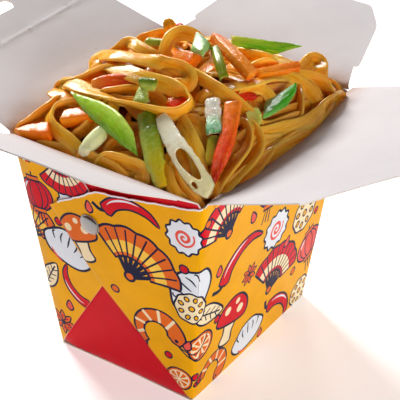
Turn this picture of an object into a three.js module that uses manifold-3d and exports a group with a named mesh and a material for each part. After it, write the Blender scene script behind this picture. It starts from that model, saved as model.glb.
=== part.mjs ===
// Noodle takeaway box: a riveted card pail with its four lid flaps folded open, heaped with flat
// noodles and cut vegetables. Millimetres, +Z up, origin on the floor at the centre of the base.
// The riveted ends face -Y and +Y, and the plain sides face -X and +X.
import * as THREE from "three";
import { mergeVertices } from "three/addons/utils/BufferGeometryUtils.js";
import Module from "manifold-3d";

const wasm = await Module();
wasm.setup();

// ---------------------------------------------------------------- driving dimensions
const CARD = 0.5; // thickness of the paperboard
const GAP = 0.3; // clearance between two pieces that touch
const HEIGHT = 100; // floor to rim
const RIM = { x: 44, y: 52.5 }; // outer half widths at the rim
const BASE = { x: 33, y: 43 }; // outer half widths at the floor
const CORNER = 1.6; // outer radius of the upright folds
const WEB = 2 * CARD; // a corner web is folded flat, two layers of card
const SINK = 0.15; // how far a web is sunk into the wall that it is joined to

// Corner web outlines on the end wall: u from its centre line, v up the slope from its foot.
const WEB_FOOT = 32.7;
const WEB_CORNER = 43.7;
const SLANT = Math.hypot(HEIGHT, RIM.y - BASE.y);
const APEX = { u: -5, v: 44.8 }; // where the two diagonal creases cross
const RIGHT_WEB = [
  [WEB_FOOT, 0.4],
  [WEB_CORNER, SLANT - 0.4],
  [33.6, 97.2],
  [15.9, 93.9],
  [-3.2, 90.8],
  [-22.7, 78.5],
  [-27.4, 74.7],
  [APEX.u, APEX.v],
];
const LEFT_WEB = [
  [-WEB_FOOT, 0.4],
  [APEX.u, APEX.v],
  [13.6, 74.7],
  [9, 78.5],
  [-6.5, 87.4],
  [-8.6, 91.3],
  [-22, 95],
  [-34, 98],
  [-WEB_CORNER, SLANT - 0.4],
];

const RIVET = {
  u: -7.1,
  v: 74.3,
  shank: 1.4,
  head: 4.4,
  dome: 1.7,
  clinch: 3,
  clinchHeight: 0.7,
};

// A flap turns about a crease just above and outside the rim. Its outline is half widths at
// distances from the crease, and tilt is its angle above the horizontal as it lies open.
const CREASE = { out: 0.1, up: 0.9, start: 0.5 };
const SHOULDER = 37.5;
const TONGUE = { neck: 9, start: 66, wide: 11, mid: 73, end: 79 };
const MINOR_OUTLINE = [
  [42.3, 0],
  [40.3, 11],
  [34.4, SHOULDER],
  [26, 48.3],
];
const FLAPS = [
  { name: "flap_front", side: [0, -1], tilt: 31, outline: MINOR_OUTLINE },
  { name: "flap_back", side: [0, 1], tilt: 15, outline: MINOR_OUTLINE },
  {
    name: "flap_right",
    side: [1, 0],
    tilt: 19,
    outline: [
      [51.6, 0],
      [50.6, SHOULDER],
      [42.6, 45.2],
      [23, TONGUE.start],
      [TONGUE.neck, TONGUE.start],
      [TONGUE.neck, TONGUE.mid - 3],
      [TONGUE.wide, TONGUE.mid],
      [TONGUE.wide - 2, TONGUE.end - 2],
      [TONGUE.wide - 6, TONGUE.end],
    ],
  },
  {
    name: "flap_left",
    side: [-1, 0],
    tilt: 16,
    outline: [
      [51.6, 0],
      [51, SHOULDER],
      [43.5, 45.2],
      [27, 64],
      [22, 66],
    ],
    slot: { halfLength: 10, from: 50.4, to: 55.8 },
  },
];

// The heap is low along the front wall, climbs to the middle and falls away at the sides and back.
const HEAP = {
  front: 98, // its height at the front wall
  rise: 24,
  climb: 57, // how far from the front wall it has its full height
  bulge: 1.6, // how rounded the climb is
  sideFall: 0.45,
  backFall: 0.4,
  backStart: 25,
  backRun: 27,
  x: RIM.x - CARD - GAP,
  y: RIM.y - CARD - GAP,
};
const CORE_DEPTH = 3.4; // from the heap's surface down to its solid core
const CORE_CELLS = [12, 14];

// A strand's ends are tucked into the core, and its centre line keeps clear of the walls.
const NOODLE = { width: 5.4, thick: 2.6, steps: 7, stepsPerControl: 1.6, tuck: 3 };
const STRAND_REACH = { x: 40.2, front: -49, back: 48.6 };
const FILLERS = { count: 16, halfSpread: 36, from: -22, to: 44, low: -1.8 };
const VEGETABLE_GAP = 0.35;

// ---------------------------------------------------------------- solids
const MERGE = 1e-3;

function toSolid(geometry) {
  const bare = geometry.index ? geometry.toNonIndexed() : geometry.clone();
  bare.deleteAttribute("normal");
  bare.deleteAttribute("uv");
  const merged = mergeVertices(bare, MERGE);
  return new wasm.Manifold(
    new wasm.Mesh({
      numProp: 3,
      vertProperties: new Float32Array(merged.attributes.position.array),
      triVerts: new Uint32Array(merged.index.array),
    }),
  );
}

function toGeometry(solid) {
  const made = solid.getMesh();
  const count = made.vertProperties.length / made.numProp;
  const positions = new Float32Array(count * 3);
  for (let i = 0; i < count; i++) {
    const start = i * made.numProp;
    positions.set(made.vertProperties.subarray(start, start + 3), i * 3);
  }
  const geometry = new THREE.BufferGeometry();
  geometry.setAttribute("position", new THREE.BufferAttribute(positions, 3));
  geometry.setIndex(new THREE.BufferAttribute(new Uint32Array(made.triVerts), 1));
  geometry.computeVertexNormals();
  return geometry;
}

const largest = (solid) => solid.decompose().sort((a, b) => b.volume() - a.volume())[0];

// A closed body through rings of points, each ring counter-clockwise seen from the last one.
function loft(rings) {
  const sides = rings[0].length;
  const positions = rings.flat().flatMap((p) => [p.x, p.y, p.z]);
  const index = [];
  for (let k = 0; k + 1 < rings.length; k++) {
    for (let i = 0; i < sides; i++) {
      const a = k * sides + i;
      const b = k * sides + ((i + 1) % sides);
      index.push(a, b, b + sides, a, b + sides, a + sides);
    }
  }
  const last = (rings.length - 1) * sides;
  for (let i = 1; i + 1 < sides; i++) {
    index.push(0, i + 1, i, last, last + i, last + i + 1);
  }
  const geometry = new THREE.BufferGeometry();
  geometry.setAttribute("position", new THREE.Float32BufferAttribute(positions, 3));
  geometry.setIndex(index);
  return geometry;
}

// A level ring with rounded corners.
function roundedRing(halfX, halfY, radius, z) {
  const points = [];
  const corners = [[1, 1], [-1, 1], [-1, -1], [1, -1]];
  const arcSteps = 3;
  corners.forEach(([sx, sy], quarter) => {
    for (let k = 0; k <= arcSteps; k++) {
      const angle = ((quarter + k / arcSteps) * Math.PI) / 2;
      points.push(
        new THREE.Vector3(
          sx * (halfX - radius) + radius * Math.cos(angle),
          sy * (halfY - radius) + radius * Math.sin(angle),
          z,
        ),
      );
    }
  });
  return points;
}

// Outer half widths of the walls at a height.
function wallAt(z) {
  const share = z / HEIGHT;
  return {
    x: THREE.MathUtils.lerp(BASE.x, RIM.x, share),
    y: THREE.MathUtils.lerp(BASE.y, RIM.y, share),
  };
}

function tapered(inset, from, to) {
  const ringAt = (z) => {
    const wall = wallAt(z);
    return roundedRing(wall.x - inset, wall.y - inset, CORNER - Math.min(inset, CARD), z);
  };
  return loft([ringAt(from), ringAt(to)]);
}

// ---------------------------------------------------------------- the folded box
// The end wall's own axes: u along X, v up its slope, w outwards.
const endWallFrame = (() => {
  const u = new THREE.Vector3(1, 0, 0);
  const v = new THREE.Vector3(0, BASE.y - RIM.y, HEIGHT).normalize();
  const w = new THREE.Vector3().crossVectors(u, v);
  return new THREE.Matrix4().makeBasis(u, v, w).setPosition(0, -BASE.y, 0);
})();
const halfTurn = new THREE.Matrix4().makeRotationZ(Math.PI);

function onEndWall(outline, depth) {
  const shape = new THREE.Shape(outline.map(([u, v]) => new THREE.Vector2(u, v)));
  const plate = new THREE.ExtrudeGeometry(shape, { depth: depth + SINK, bevelEnabled: false });
  plate.translate(0, 0, -SINK);
  return plate.applyMatrix4(endWallFrame);
}

// A round bar square to the end wall at the rivet.
function rivetBore(radius, from, to) {
  const bar = new THREE.CylinderGeometry(radius, radius, to - from, 20);
  bar.rotateX(Math.PI / 2);
  bar.translate(RIVET.u, RIVET.v, (from + to) / 2);
  return bar.applyMatrix4(endWallFrame);
}

function endWebs() {
  const right = toSolid(onEndWall(RIGHT_WEB, WEB));
  const left = toSolid(onEndWall(LEFT_WEB, WEB));
  const rightHigh = toSolid(onEndWall(RIGHT_WEB, 2 * WEB));
  const leftHigh = toSolid(onEndWall(LEFT_WEB, 2 * WEB));
  return right.add(left).add(rightHigh.intersect(leftHigh));
}

function atBothEnds(makeGeometry) {
  return [makeGeometry(), makeGeometry().applyMatrix4(halfTurn)].map(toSolid);
}

function foldedBox() {
  const above = 2;
  const shell = toSolid(tapered(0, 0, HEIGHT)).subtract(
    toSolid(tapered(CARD, CARD, HEIGHT + above)),
  );
  const webs = endWebs();
  const through = 4;
  const [boreFront, boreBack] = atBothEnds(() =>
    rivetBore(RIVET.shank + GAP, -through, through),
  );
  return shell
    .add(webs)
    .add(webs.transform(Array.from(halfTurn.elements)))
    .subtract(boreFront)
    .subtract(boreBack);
}

// A domed head outside the webs, a shank through the card and a clinched flange inside.
function rivet() {
  const outside = 2 * WEB + GAP;
  const inside = -CARD - GAP;
  const domeSteps = 4;
  const profile = [
    [0, inside - RIVET.clinchHeight],
    [RIVET.clinch, inside - RIVET.clinchHeight],
    [RIVET.clinch, inside],
    [RIVET.shank, inside],
    [RIVET.shank, outside],
    [RIVET.head, outside],
  ];
  for (let k = 1; k <= domeSteps; k++) {
    const angle = (k / domeSteps) * (Math.PI / 2);
    profile.push([
      k === domeSteps ? 0 : RIVET.head * Math.cos(angle),
      outside + RIVET.dome * Math.sin(angle),
    ]);
  }
  const turned = new THREE.LatheGeometry(
    profile.map(([r, h]) => new THREE.Vector2(r, h)),
    16,
  );
  turned.rotateX(Math.PI / 2);
  turned.translate(RIVET.u, RIVET.v, 0);
  return turned.applyMatrix4(endWallFrame);
}

// ---------------------------------------------------------------- the lid flaps
function flap({ side, tilt, outline, slot }) {
  const outward = new THREE.Vector3(side[0], side[1], 0);
  const along = new THREE.Vector3(0, 0, 1).cross(outward);
  const angle = THREE.MathUtils.degToRad(tilt);
  const slope = outward.clone().multiplyScalar(Math.cos(angle));
  slope.z = Math.sin(angle);
  const face = new THREE.Vector3().crossVectors(along, slope);

  const edge = outline.map(([half, d]) => [half, Math.max(d, CREASE.start)]);
  const points = [
    ...edge.map(([half, d]) => new THREE.Vector2(half, d)),
    ...edge.reverse().map(([half, d]) => new THREE.Vector2(-half, d)),
  ];
  const shape = new THREE.Shape(points);
  if (slot) {
    const radius = (slot.to - slot.from) / 2;
    const middle = (slot.to + slot.from) / 2;
    const straight = slot.halfLength - radius;
    const hole = new THREE.Path();
    hole.absarc(straight, middle, radius, -Math.PI / 2, Math.PI / 2);
    hole.absarc(-straight, middle, radius, Math.PI / 2, Math.PI * 1.5);
    shape.holes.push(hole);
  }
  const plate = new THREE.ExtrudeGeometry(shape, {
    depth: CARD,
    bevelEnabled: false,
    curveSegments: 8,
  });
  plate.translate(0, 0, -CARD / 2);
  const rimHalf = side[0] ? RIM.x : RIM.y;
  const pivot = outward.clone().multiplyScalar(rimHalf + CREASE.out);
  pivot.z = HEIGHT + CREASE.up;
  return plate.applyMatrix4(
    new THREE.Matrix4().makeBasis(along, slope, face).setPosition(pivot),
  );
}

// ---------------------------------------------------------------- the heap of noodles
const clamp01 = (t) => Math.min(Math.max(t, 0), 1);
const smooth = (t) => clamp01(t) ** 2 * (3 - 2 * clamp01(t));

function heapHeight(x, y) {
  const front = 1 - (1 - clamp01((y + RIM.y) / HEAP.climb)) ** HEAP.bulge;
  const sides = 1 - HEAP.sideFall * (Math.abs(x) / RIM.x) ** 4;
  const back = 1 - HEAP.backFall * smooth((y - HEAP.backStart) / HEAP.backRun);
  return HEAP.front + HEAP.rise * front * sides * back;
}

function heapNormal(x, y) {
  const step = 1;
  const dx = heapHeight(x + step, y) - heapHeight(x - step, y);
  const dy = heapHeight(x, y + step) - heapHeight(x, y - step);
  return new THREE.Vector3(-dx, -dy, 2 * step).normalize();
}

// A seeded random draw, the same on every run.
function seeded(seed) {
  let state = seed;
  return () => {
    state = (state * 1664525 + 1013904223) % 4294967296;
    return state / 4294967296;
  };
}

// The core fills the box to just under the strands. Its levels are the foot, the rim and the top.
function heapCore() {
  const block = new THREE.BoxGeometry(2, 2, 2, CORE_CELLS[0], CORE_CELLS[1], 2);
  const position = block.attributes.position;
  const foot = CARD + GAP;
  for (let i = 0; i < position.count; i++) {
    const across = position.getX(i);
    const along = position.getY(i);
    const level = position.getZ(i);
    const top = heapHeight(across * HEAP.x, along * HEAP.y) - CORE_DEPTH;
    const middle = Math.min(HEIGHT - 2, top - 1);
    const z = level < -0.5 ? foot : level > 0.5 ? top : middle;
    const wall = wallAt(Math.min(z, HEIGHT));
    const inset = CARD + GAP;
    position.setXYZ(i, across * (wall.x - inset), along * (wall.y - inset), z);
  }
  return toSolid(block);
}

// A ribbon with rounded edges through control points [x, y, lift above the heap, roll in degrees].
// Both its ends are tucked down into the core.
const RIBBON_SECTION = [
  [-0.5, -0.4],
  [0.5, -0.4],
  [0.36, 0.5],
  [-0.36, 0.5],
];

function ribbon(controls, steps) {
  const { width, thick, tuck } = NOODLE;
  const tucked = controls.map(([x, y, lift], i) => {
    const isEnd = i === 0 || i === controls.length - 1;
    return new THREE.Vector3(x, y, heapHeight(x, y) + lift - (isEnd ? tuck : 0));
  });
  const curve = new THREE.CatmullRomCurve3(tucked, false, "centripetal");
  const rings = [];
  for (let k = 0; k <= steps; k++) {
    const share = k / steps;
    const point = curve.getPointAt(share);
    const tangent = curve.getTangentAt(share);
    const place = share * (controls.length - 1);
    const before = controls[Math.floor(place)];
    const after = controls[Math.ceil(place)];
    const roll = THREE.MathUtils.degToRad(
      THREE.MathUtils.lerp(before[3] ?? 0, after[3] ?? 0, place % 1),
    );
    const across = heapNormal(point.x, point.y).cross(tangent).normalize();
    across.applyAxisAngle(tangent, roll);
    const up = new THREE.Vector3().crossVectors(tangent, across);
    rings.push(
      RIBBON_SECTION.map(([a, b]) =>
        point.clone().addScaledVector(across, a * width).addScaledVector(up, b * thick),
      ),
    );
  }
  return toSolid(loft(rings));
}

// The strands that stand out on top: loops, arches and bundles, as [x, y, lift, roll].
const STRANDS = [
  // a broad loop over the middle
  [[-39, -24, 2], [-26, -29, 3, 30], [-12, -31, 4, 60], [2, -30, 4, 50], [13, -28, 3, 20],
    [17, -22, 3], [12, -18, 4], [0, -18, 5], [-13, -17, 4], [-26, -15, 2]],
  // the loop above it
  [[-32, -15, 1], [-27, -12, 5], [-15, -12, 6], [-4, -9, 5], [5, -6, 4], [10, -10, 2]],
  // an arch that stands up on the crest
  [[-10, -3, -1], [-10, 0, 4, 20], [-8, 4, 7, 30], [-4, 9, 6, 20], [-3, 15, 1]],
  [[-13, 7, -1], [-14, 9, 3], [-15, 11, 7]],
  // loops along the left side
  [[-24, -33, 0], [-31, -35, 2], [-34, -40, 3, 20], [-31, -46, 3, 20], [-22, -47, 2], [-14, -49, 0]],
  [[-41, -24, 0], [-32, -21, 2], [-24, -17, 2], [-14, -16, 0]],
  [[-40, -46, 0], [-39, -39, 2], [-36, -32, 1], [-30, -24, -1]],
  [[-34, -9, 0], [-30, -5, 1], [-26, 2, 2], [-21, 10, 1], [-16, 18, 0]],
  // strands along the low front wall
  [[-6, -46, 0], [0, -45, 2, 20], [7, -45, 3, 30], [12, -46, 1], [14, -49, -1]],
  [[-34, -49, -1], [-24, -49, 0], [-12, -49, 0], [0, -49, 0], [8, -50, -1]],
  // the long arc and the outer turns at the right
  [[14, -13, 0], [24, -9, 3], [32, -1, 4], [37, 9, 4], [40, 16, 3], [41, 22, 0]],
  [[30, 4, 2], [34, 14, 3], [37, 23, 3], [40, 30, 2], [40, 37, 0]],
  [[36, -22, 2], [40, -14, 3], [40.2, -3, 3], [40.2, 9, 3], [40, 20, 2], [38, 31, 0]],
  [[40, 26, -2], [40.2, 12, -2], [40.2, -4, -2], [40, -18, -2], [39.5, -34, -1]],
  [[29, -10, -1], [30, -5, 2], [33, -1, 2], [37, 1, -1]],
  // the bundle that runs down to the front right corner
  [[33, -14, 1], [38, -20, 2], [39.5, -30, 1], [40, -42, 0]],
  [[6, -8, 1], [15, -9, 3], [25, -12, 4], [33, -14, 3], [39, -13, 1]],
  [[13, 14, 1], [21, 16, 4], [27, 16, 4], [29, 11, 3], [25, 7, 1]],
  [[34, 24, 1], [36, 28, 5], [37, 34, 5], [40, 38, 3], [40, 32, 1]],
  [[15, -16, -1], [23, -21, 1], [28, -28, 1], [33, -39, 0]],
  [[6, -34, -1], [16, -36, 1], [26, -38, 1], [34, -46, 0]],
];

// Plain strands in an even spread over the rest of the heap, each along an arc of its own.
function fillers() {
  const draw = seeded(11);
  const golden = 0.618034;
  const made = [];
  for (let k = 0; k < FILLERS.count; k++) {
    const cx = (((k * golden) % 1) * 2 - 1) * FILLERS.halfSpread;
    const cy = THREE.MathUtils.lerp(FILLERS.from, FILLERS.to, (k + 0.5) / FILLERS.count);
    const radius = 14 + 22 * draw();
    const start = 2 * Math.PI * draw();
    const sweep = 1 + 0.8 * draw();
    const controls = [];
    for (let i = 0; i <= 4; i++) {
      const angle = start + (i / 4 - 0.5) * sweep;
      const x = cx + radius * (Math.cos(angle) - Math.cos(start));
      const y = cy + radius * (Math.sin(angle) - Math.sin(start));
      controls.push([
        THREE.MathUtils.clamp(x, -STRAND_REACH.x, STRAND_REACH.x),
        THREE.MathUtils.clamp(y, STRAND_REACH.front, STRAND_REACH.back),
        FILLERS.low * draw(),
      ]);
    }
    made.push(ribbon(controls, NOODLE.steps));
  }
  return made;
}

// ---------------------------------------------------------------- the vegetables
// Outlines as the share of full width along a piece.
const FORMS = {
  stick: (t) => 0.92 + 0.08 * Math.sin(Math.PI * t),
  spindle: (t) => 0.06 + 0.94 * Math.sin(Math.PI * t) ** 0.75,
  diamond: (t) => 0.1 + 0.9 * Math.min(1, 1.25 * (1 - Math.abs(2 * t - 1))),
  wedge: (t) => 1 - 0.6 * t,
  lozenge: (t) => Math.min(1, 0.45 + 2.2 * Math.min(t, 1 - t)),
};

const CARROT = 0xe8661c;
const RED_PEPPER = 0xd42a14;
const GREEN_PEPPER = 0x8f9a22;
const SPRING_ONION = 0x7fb52c;
const PALE_ONION = 0xe6e7bd;

// path is [x, y, height of the piece's centre above the heap]; the roll tips its flat face.
const VEGETABLES = [
  { name: "carrot_1", color: CARROT, form: "stick", width: 6, thick: 4.6, roll: 8,
    path: [[-39.2, -47.8, 2.4], [-26.6, -47.2, 3.4]] },
  { name: "carrot_2", color: CARROT, form: "stick", width: 6, thick: 4.6, roll: 8,
    path: [[-28.6, -41.2, 2.6], [-20.2, -38.6, 1.2]] },
  { name: "carrot_3", color: CARROT, form: "stick", width: 7, thick: 5, roll: 10,
    path: [[-0.6, -5.6, 4], [6.4, -0.6, 4]] },
  { name: "carrot_4", color: CARROT, form: "stick", width: 5.4, thick: 4, roll: -14,
    path: [[6.6, 12, 8.4], [18, 5, 7.6], [30, -1.4, 6.4]] },
  { name: "carrot_5", color: CARROT, form: "stick", width: 4.6, thick: 3.6, roll: 0,
    path: [[30.4, 5.4, 3.6], [37, 22.6, 3.6]] },
  { name: "red_pepper_1", color: RED_PEPPER, form: "lozenge", width: 6, thick: 2, roll: 16,
    path: [[-27, -26.4, 2.6], [-18.6, -22.6, 3], [-11, -18.6, 2.4]] },
  { name: "red_pepper_2", color: RED_PEPPER, form: "lozenge", width: 5, thick: 2.4, roll: 0,
    path: [[6.6, -24.6, 1], [11, -19.6, 1]] },
  { name: "red_pepper_3", color: RED_PEPPER, form: "wedge", width: 7.6, thick: 3, roll: 24,
    path: [[31, -12, 4.6], [38, -27, 4.6], [41, -42, 2.8]] },
  { name: "red_pepper_4", color: RED_PEPPER, form: "lozenge", width: 4.4, thick: 2.2, roll: 0,
    path: [[28, -4.6, 0.6], [34.5, 1, 0.6]] },
  { name: "red_pepper_5", color: RED_PEPPER, form: "lozenge", width: 3.6, thick: 2.4, roll: 0,
    path: [[-17, 16.4, 3], [-12.4, 18.2, 3]] },
  { name: "green_pepper_1", color: GREEN_PEPPER, form: "stick", width: 7.4, thick: 2.8, roll: 4,
    path: [[0.8, -28.8, 2.2], [10.6, -38.6, 3], [22.6, -48.2, 2.4]] },
  { name: "green_pepper_2", color: GREEN_PEPPER, form: "lozenge", width: 4.2, thick: 2.6, roll: 0,
    path: [[30, -30.4, 2.2], [34.4, -39.4, 2]] },
  { name: "spring_onion_1", color: SPRING_ONION, form: "spindle", width: 7.6, thick: 1.8, roll: 18,
    path: [[-29.6, -31.8, 5.4], [-8.4, -40.8, 7.2], [10, -45.6, 5.4]] },
  { name: "spring_onion_2", color: SPRING_ONION, form: "spindle", width: 6.6, thick: 1.8, roll: 24,
    path: [[12, 17.6, 6], [21, 27, 6.6], [28.6, 36.6, 6.6]] },
  { name: "spring_onion_3", color: SPRING_ONION, form: "diamond", width: 7.8, thick: 1.8, roll: 24,
    path: [[38.2, 12, 7.4], [38.4, 0, 7.6], [38.2, -10, 6.6]] },
  { name: "spring_onion_4", color: SPRING_ONION, form: "stick", width: 3.8, thick: 1.4, roll: 30,
    path: [[6.2, 5.4, 6.2], [13.6, -1.2, 6.4], [21, -8.4, 5.6]] },
  { name: "spring_onion_5", color: SPRING_ONION, form: "lozenge", width: 4.4, thick: 2, roll: 10,
    path: [[-5.4, -22.4, 9.4], [2, -20.8, 9.4]] },
  { name: "spring_onion_6", color: SPRING_ONION, form: "stick", width: 4, thick: 2, roll: 0,
    path: [[-20.6, 0, 3.6], [-13.4, 3.4, 3.6]] },
  { name: "spring_onion_7", color: SPRING_ONION, form: "lozenge", width: 4.8, thick: 2.2, roll: 20,
    path: [[33.6, -9.4, 2.6], [38.6, -13.6, 2.6]] },
  { name: "onion_1", color: PALE_ONION, form: "lozenge", width: 6, thick: 2.8, roll: 10,
    path: [[-12.4, -49, 3.6], [-11.4, -45.4, 4], [-10.6, -41.6, 2.2]] },
  { name: "onion_2", color: PALE_ONION, form: "lozenge", width: 6.6, thick: 2.2, roll: 20,
    path: [[-4.6, -24.8, 4.6], [-1.4, -28.4, 5.4]] },
  { name: "onion_3", color: PALE_ONION, form: "lozenge", width: 7.4, thick: 3, roll: -12,
    path: [[-1.4, 7.4, 7], [3.4, 2.4, 8]] },
  { name: "onion_4", color: PALE_ONION, form: "stick", width: 6, thick: 2.8, roll: 10,
    path: [[22.4, -17.4, 4], [29, -27.6, 4]] },
  { name: "onion_5", color: PALE_ONION, form: "spindle", width: 6.6, thick: 1.5, roll: 16,
    path: [[12.6, -31.8, 4.4], [27, -41.6, 5.8], [38.6, -48, 4.4]],
    holes: [
      { share: 0.5, aside: 0.4, halfLong: 3, halfWide: 1.2 },
      { share: 0.84, aside: 0, halfLong: 2, halfWide: 0.8 },
    ] },
];

// Where a vegetable piece runs: its centre line with the directions across it and out of its face.
function courseOf({ path, roll }) {
  const curve = new THREE.CatmullRomCurve3(
    path.map(([x, y, lift]) => new THREE.Vector3(x, y, heapHeight(x, y) + lift)),
  );
  const steps = path.length > 2 ? 6 : 4;
  const course = [];
  for (let k = 0; k <= steps; k++) {
    const share = k / steps;
    const point = curve.getPointAt(share);
    const tangent = curve.getTangentAt(share);
    const across = heapNormal(point.x, point.y).cross(tangent).normalize();
    across.applyAxisAngle(tangent, THREE.MathUtils.degToRad(roll));
    const up = new THREE.Vector3().crossVectors(tangent, across);
    course.push({ share, point, tangent, across, up });
  }
  return course;
}

// A vegetable piece, grown by a clearance on every side.
function vegetable(piece, grow) {
  const { width, thick, form, holes = [] } = piece;
  const course = courseOf(piece);
  course[0].point.addScaledVector(course[0].tangent, -grow);
  course.at(-1).point.addScaledVector(course.at(-1).tangent, grow);
  const corners = [[-0.5, -0.5], [0.5, -0.5], [0.5, 0.5], [-0.5, 0.5]];
  const rings = course.map(({ share, point, across, up }) => {
    const full = width * FORMS[form](share) + 2 * grow;
    return corners.map(([a, b]) =>
      point
        .clone()
        .addScaledVector(across, a * full)
        .addScaledVector(up, b * (thick + 2 * grow)),
    );
  });
  const solid = toSolid(loft(rings));
  if (grow > 0) return solid;
  return holes.reduce((left, hole) => left.subtract(eyelet(course, hole, thick)), solid);
}

// An oval opening through a piece, at a share of its length and a distance to one side.
function eyelet(course, { share, aside, halfLong, halfWide }, thick) {
  const { point, tangent, across, up } = course[Math.round(share * (course.length - 1))];
  const oval = new THREE.CylinderGeometry(1, 1, 4 * thick, 10);
  oval.scale(halfLong, 1, halfWide);
  const side = new THREE.Vector3().crossVectors(tangent, up);
  const place = point.clone().addScaledVector(across, aside);
  return toSolid(
    oval.applyMatrix4(new THREE.Matrix4().makeBasis(tangent, up, side).setPosition(place)),
  );
}

// What a vegetable piece lies on: noodles packed between its underside and the core.
function bed(piece) {
  const inner = 0.36;
  const sunk = 2;
  const course = courseOf(piece).filter((_, k) => k % 2 === 0);
  const rings = course.map(({ share, point, across }) => {
    const half = piece.width * FORMS[piece.form](share) * inner;
    const left = point.clone().addScaledVector(across, -half);
    const right = point.clone().addScaledVector(across, half);
    const floor = heapHeight(point.x, point.y) - CORE_DEPTH - sunk;
    return [
      new THREE.Vector3(left.x, left.y, floor),
      new THREE.Vector3(right.x, right.y, floor),
      right,
      left,
    ];
  });
  return toSolid(loft(rings));
}

function noodleHeap() {
  let heap = heapCore();
  for (const controls of STRANDS) {
    const steps = Math.max(6, Math.round(controls.length * NOODLE.stepsPerControl));
    heap = heap.add(ribbon(controls, steps));
  }
  for (const strand of fillers()) heap = heap.add(strand);
  for (const piece of VEGETABLES) heap = heap.add(bed(piece));
  const above = 60;
  const roof = loft([
    roundedRing(HEAP.x, HEAP.y, CORNER, HEIGHT - 0.2),
    roundedRing(HEAP.x, HEAP.y, CORNER, HEIGHT + above),
  ]);
  const room = toSolid(tapered(CARD + GAP, CARD + GAP, HEIGHT)).add(toSolid(roof));
  heap = heap.intersect(room);
  for (const piece of VEGETABLES) heap = heap.subtract(vegetable(piece, VEGETABLE_GAP));
  const flange = RIVET.clinch + GAP;
  const depth = -CARD - 2 * GAP - RIVET.clinchHeight - SINK;
  for (const pocket of atBothEnds(() => rivetBore(flange, depth, 0))) heap = heap.subtract(pocket);
  return largest(heap);
}

// ---------------------------------------------------------------- the scene
function named(name, geometry, color, roughness, metalness = 0) {
  const material = new THREE.MeshStandardMaterial({ color, roughness, metalness });
  const made = new THREE.Mesh(geometry, material);
  made.name = name;
  return made;
}

const root = new THREE.Group();
root.add(named("card_box", toGeometry(foldedBox()), 0xf0a91e, 0.45));
for (const spec of FLAPS) root.add(named(spec.name, flap(spec), 0xe4dedd, 0.6));

const rivetFront = named("rivet_front", rivet(), 0xb8b6b4, 0.25, 1);
const rivetBack = named("rivet_back", rivet().applyMatrix4(halfTurn), 0xb8b6b4, 0.25, 1);
root.add(rivetFront, rivetBack);

const heap = noodleHeap();
root.add(named("noodles", toGeometry(heap), 0xb8741f, 0.35));
for (const piece of VEGETABLES) {
  root.add(named(piece.name, toGeometry(vegetable(piece, 0)), piece.color, 0.4));
}

export default root;
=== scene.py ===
"""The looks of a takeaway box of flat noodles: printed card, open lid flaps, noodles and vegetables.

Lengths are millimetres in the box's own frame until a mesh is made, where MM turns them into metres.
The riveted ends face -Y and +Y and the plain sides -X and +X. A half turn maps the box on itself.
"""

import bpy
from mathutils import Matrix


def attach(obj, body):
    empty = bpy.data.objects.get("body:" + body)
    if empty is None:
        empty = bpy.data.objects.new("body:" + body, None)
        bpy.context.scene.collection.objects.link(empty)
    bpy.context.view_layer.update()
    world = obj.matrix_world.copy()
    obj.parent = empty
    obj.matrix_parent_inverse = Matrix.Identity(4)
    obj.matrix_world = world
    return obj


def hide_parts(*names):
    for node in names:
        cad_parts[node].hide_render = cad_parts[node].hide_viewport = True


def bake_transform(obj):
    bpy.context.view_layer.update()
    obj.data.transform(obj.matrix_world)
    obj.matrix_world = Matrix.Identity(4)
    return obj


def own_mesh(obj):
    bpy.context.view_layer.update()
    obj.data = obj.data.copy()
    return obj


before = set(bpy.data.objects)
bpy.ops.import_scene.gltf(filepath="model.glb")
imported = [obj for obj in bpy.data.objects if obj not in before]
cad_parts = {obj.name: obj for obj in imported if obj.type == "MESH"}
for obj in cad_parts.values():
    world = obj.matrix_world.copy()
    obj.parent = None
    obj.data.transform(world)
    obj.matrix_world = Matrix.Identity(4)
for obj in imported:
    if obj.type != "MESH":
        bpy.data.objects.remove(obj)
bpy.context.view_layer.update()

import math

import bpy
import numpy as np
from mathutils import Matrix, Vector, noise
from mathutils.geometry import delaunay_2d_cdt

MM = 0.001
X, Y, Z = np.eye(3)

# ------------------------------------------------------------------ driving dimensions
CARD = 0.5
HEIGHT = 100.0
RIM = np.array([44.0, 52.5])
BASE = np.array([33.0, 43.0])
FLARE = RIM - BASE
SIDE_SLANT = math.hypot(HEIGHT, FLARE[0])
END_SLANT = math.hypot(HEIGHT, FLARE[1])
SEAM = 99.3  # height at which a wall hands over to its flap
PIVOT_OUT = 0.1
PIVOT_UP = 0.9
FOLD = 1.7  # how rounded the upright folds are
CREASE = 0.7  # how rounded the flap creases are
FOOT = 0.8  # how rounded the folds at the base are
WALL_SWELL = 0.9  # how far the sides bulge
RIPPLE = 0.12
WEB_LIFT = 0.8  # how far the webs lie off the end wall, and how much more round the rivet
RIVET_SWELL = 1.3
LAP = 0.75  # how far the upper web lies over the lower one
DIAGONAL_DENT = 0.7
FLAP_WAVE = 0.35

# ------------------------------------------------------------------ camera
CAMERA_PLACE = np.array([276.8, -400.3, 375.0])
CAMERA_AIM = np.array([-8.555, 22.87, 44.0])
CAMERA_ROLL = math.radians(0.49)
LENS = 130.5
SENSOR = 36.0
FRAME_PIXELS = 400


def unit(v):
    v = np.asarray(v, float)
    return v / np.linalg.norm(v, axis=-1, keepdims=True)


def camera_axes():
    forward = unit(CAMERA_AIM - CAMERA_PLACE)
    level = unit(np.cross(forward, Z))
    upright = np.cross(level, forward)
    c, s = math.cos(CAMERA_ROLL), math.sin(CAMERA_ROLL)
    return c * level + s * upright, c * upright - s * level, forward


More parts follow.
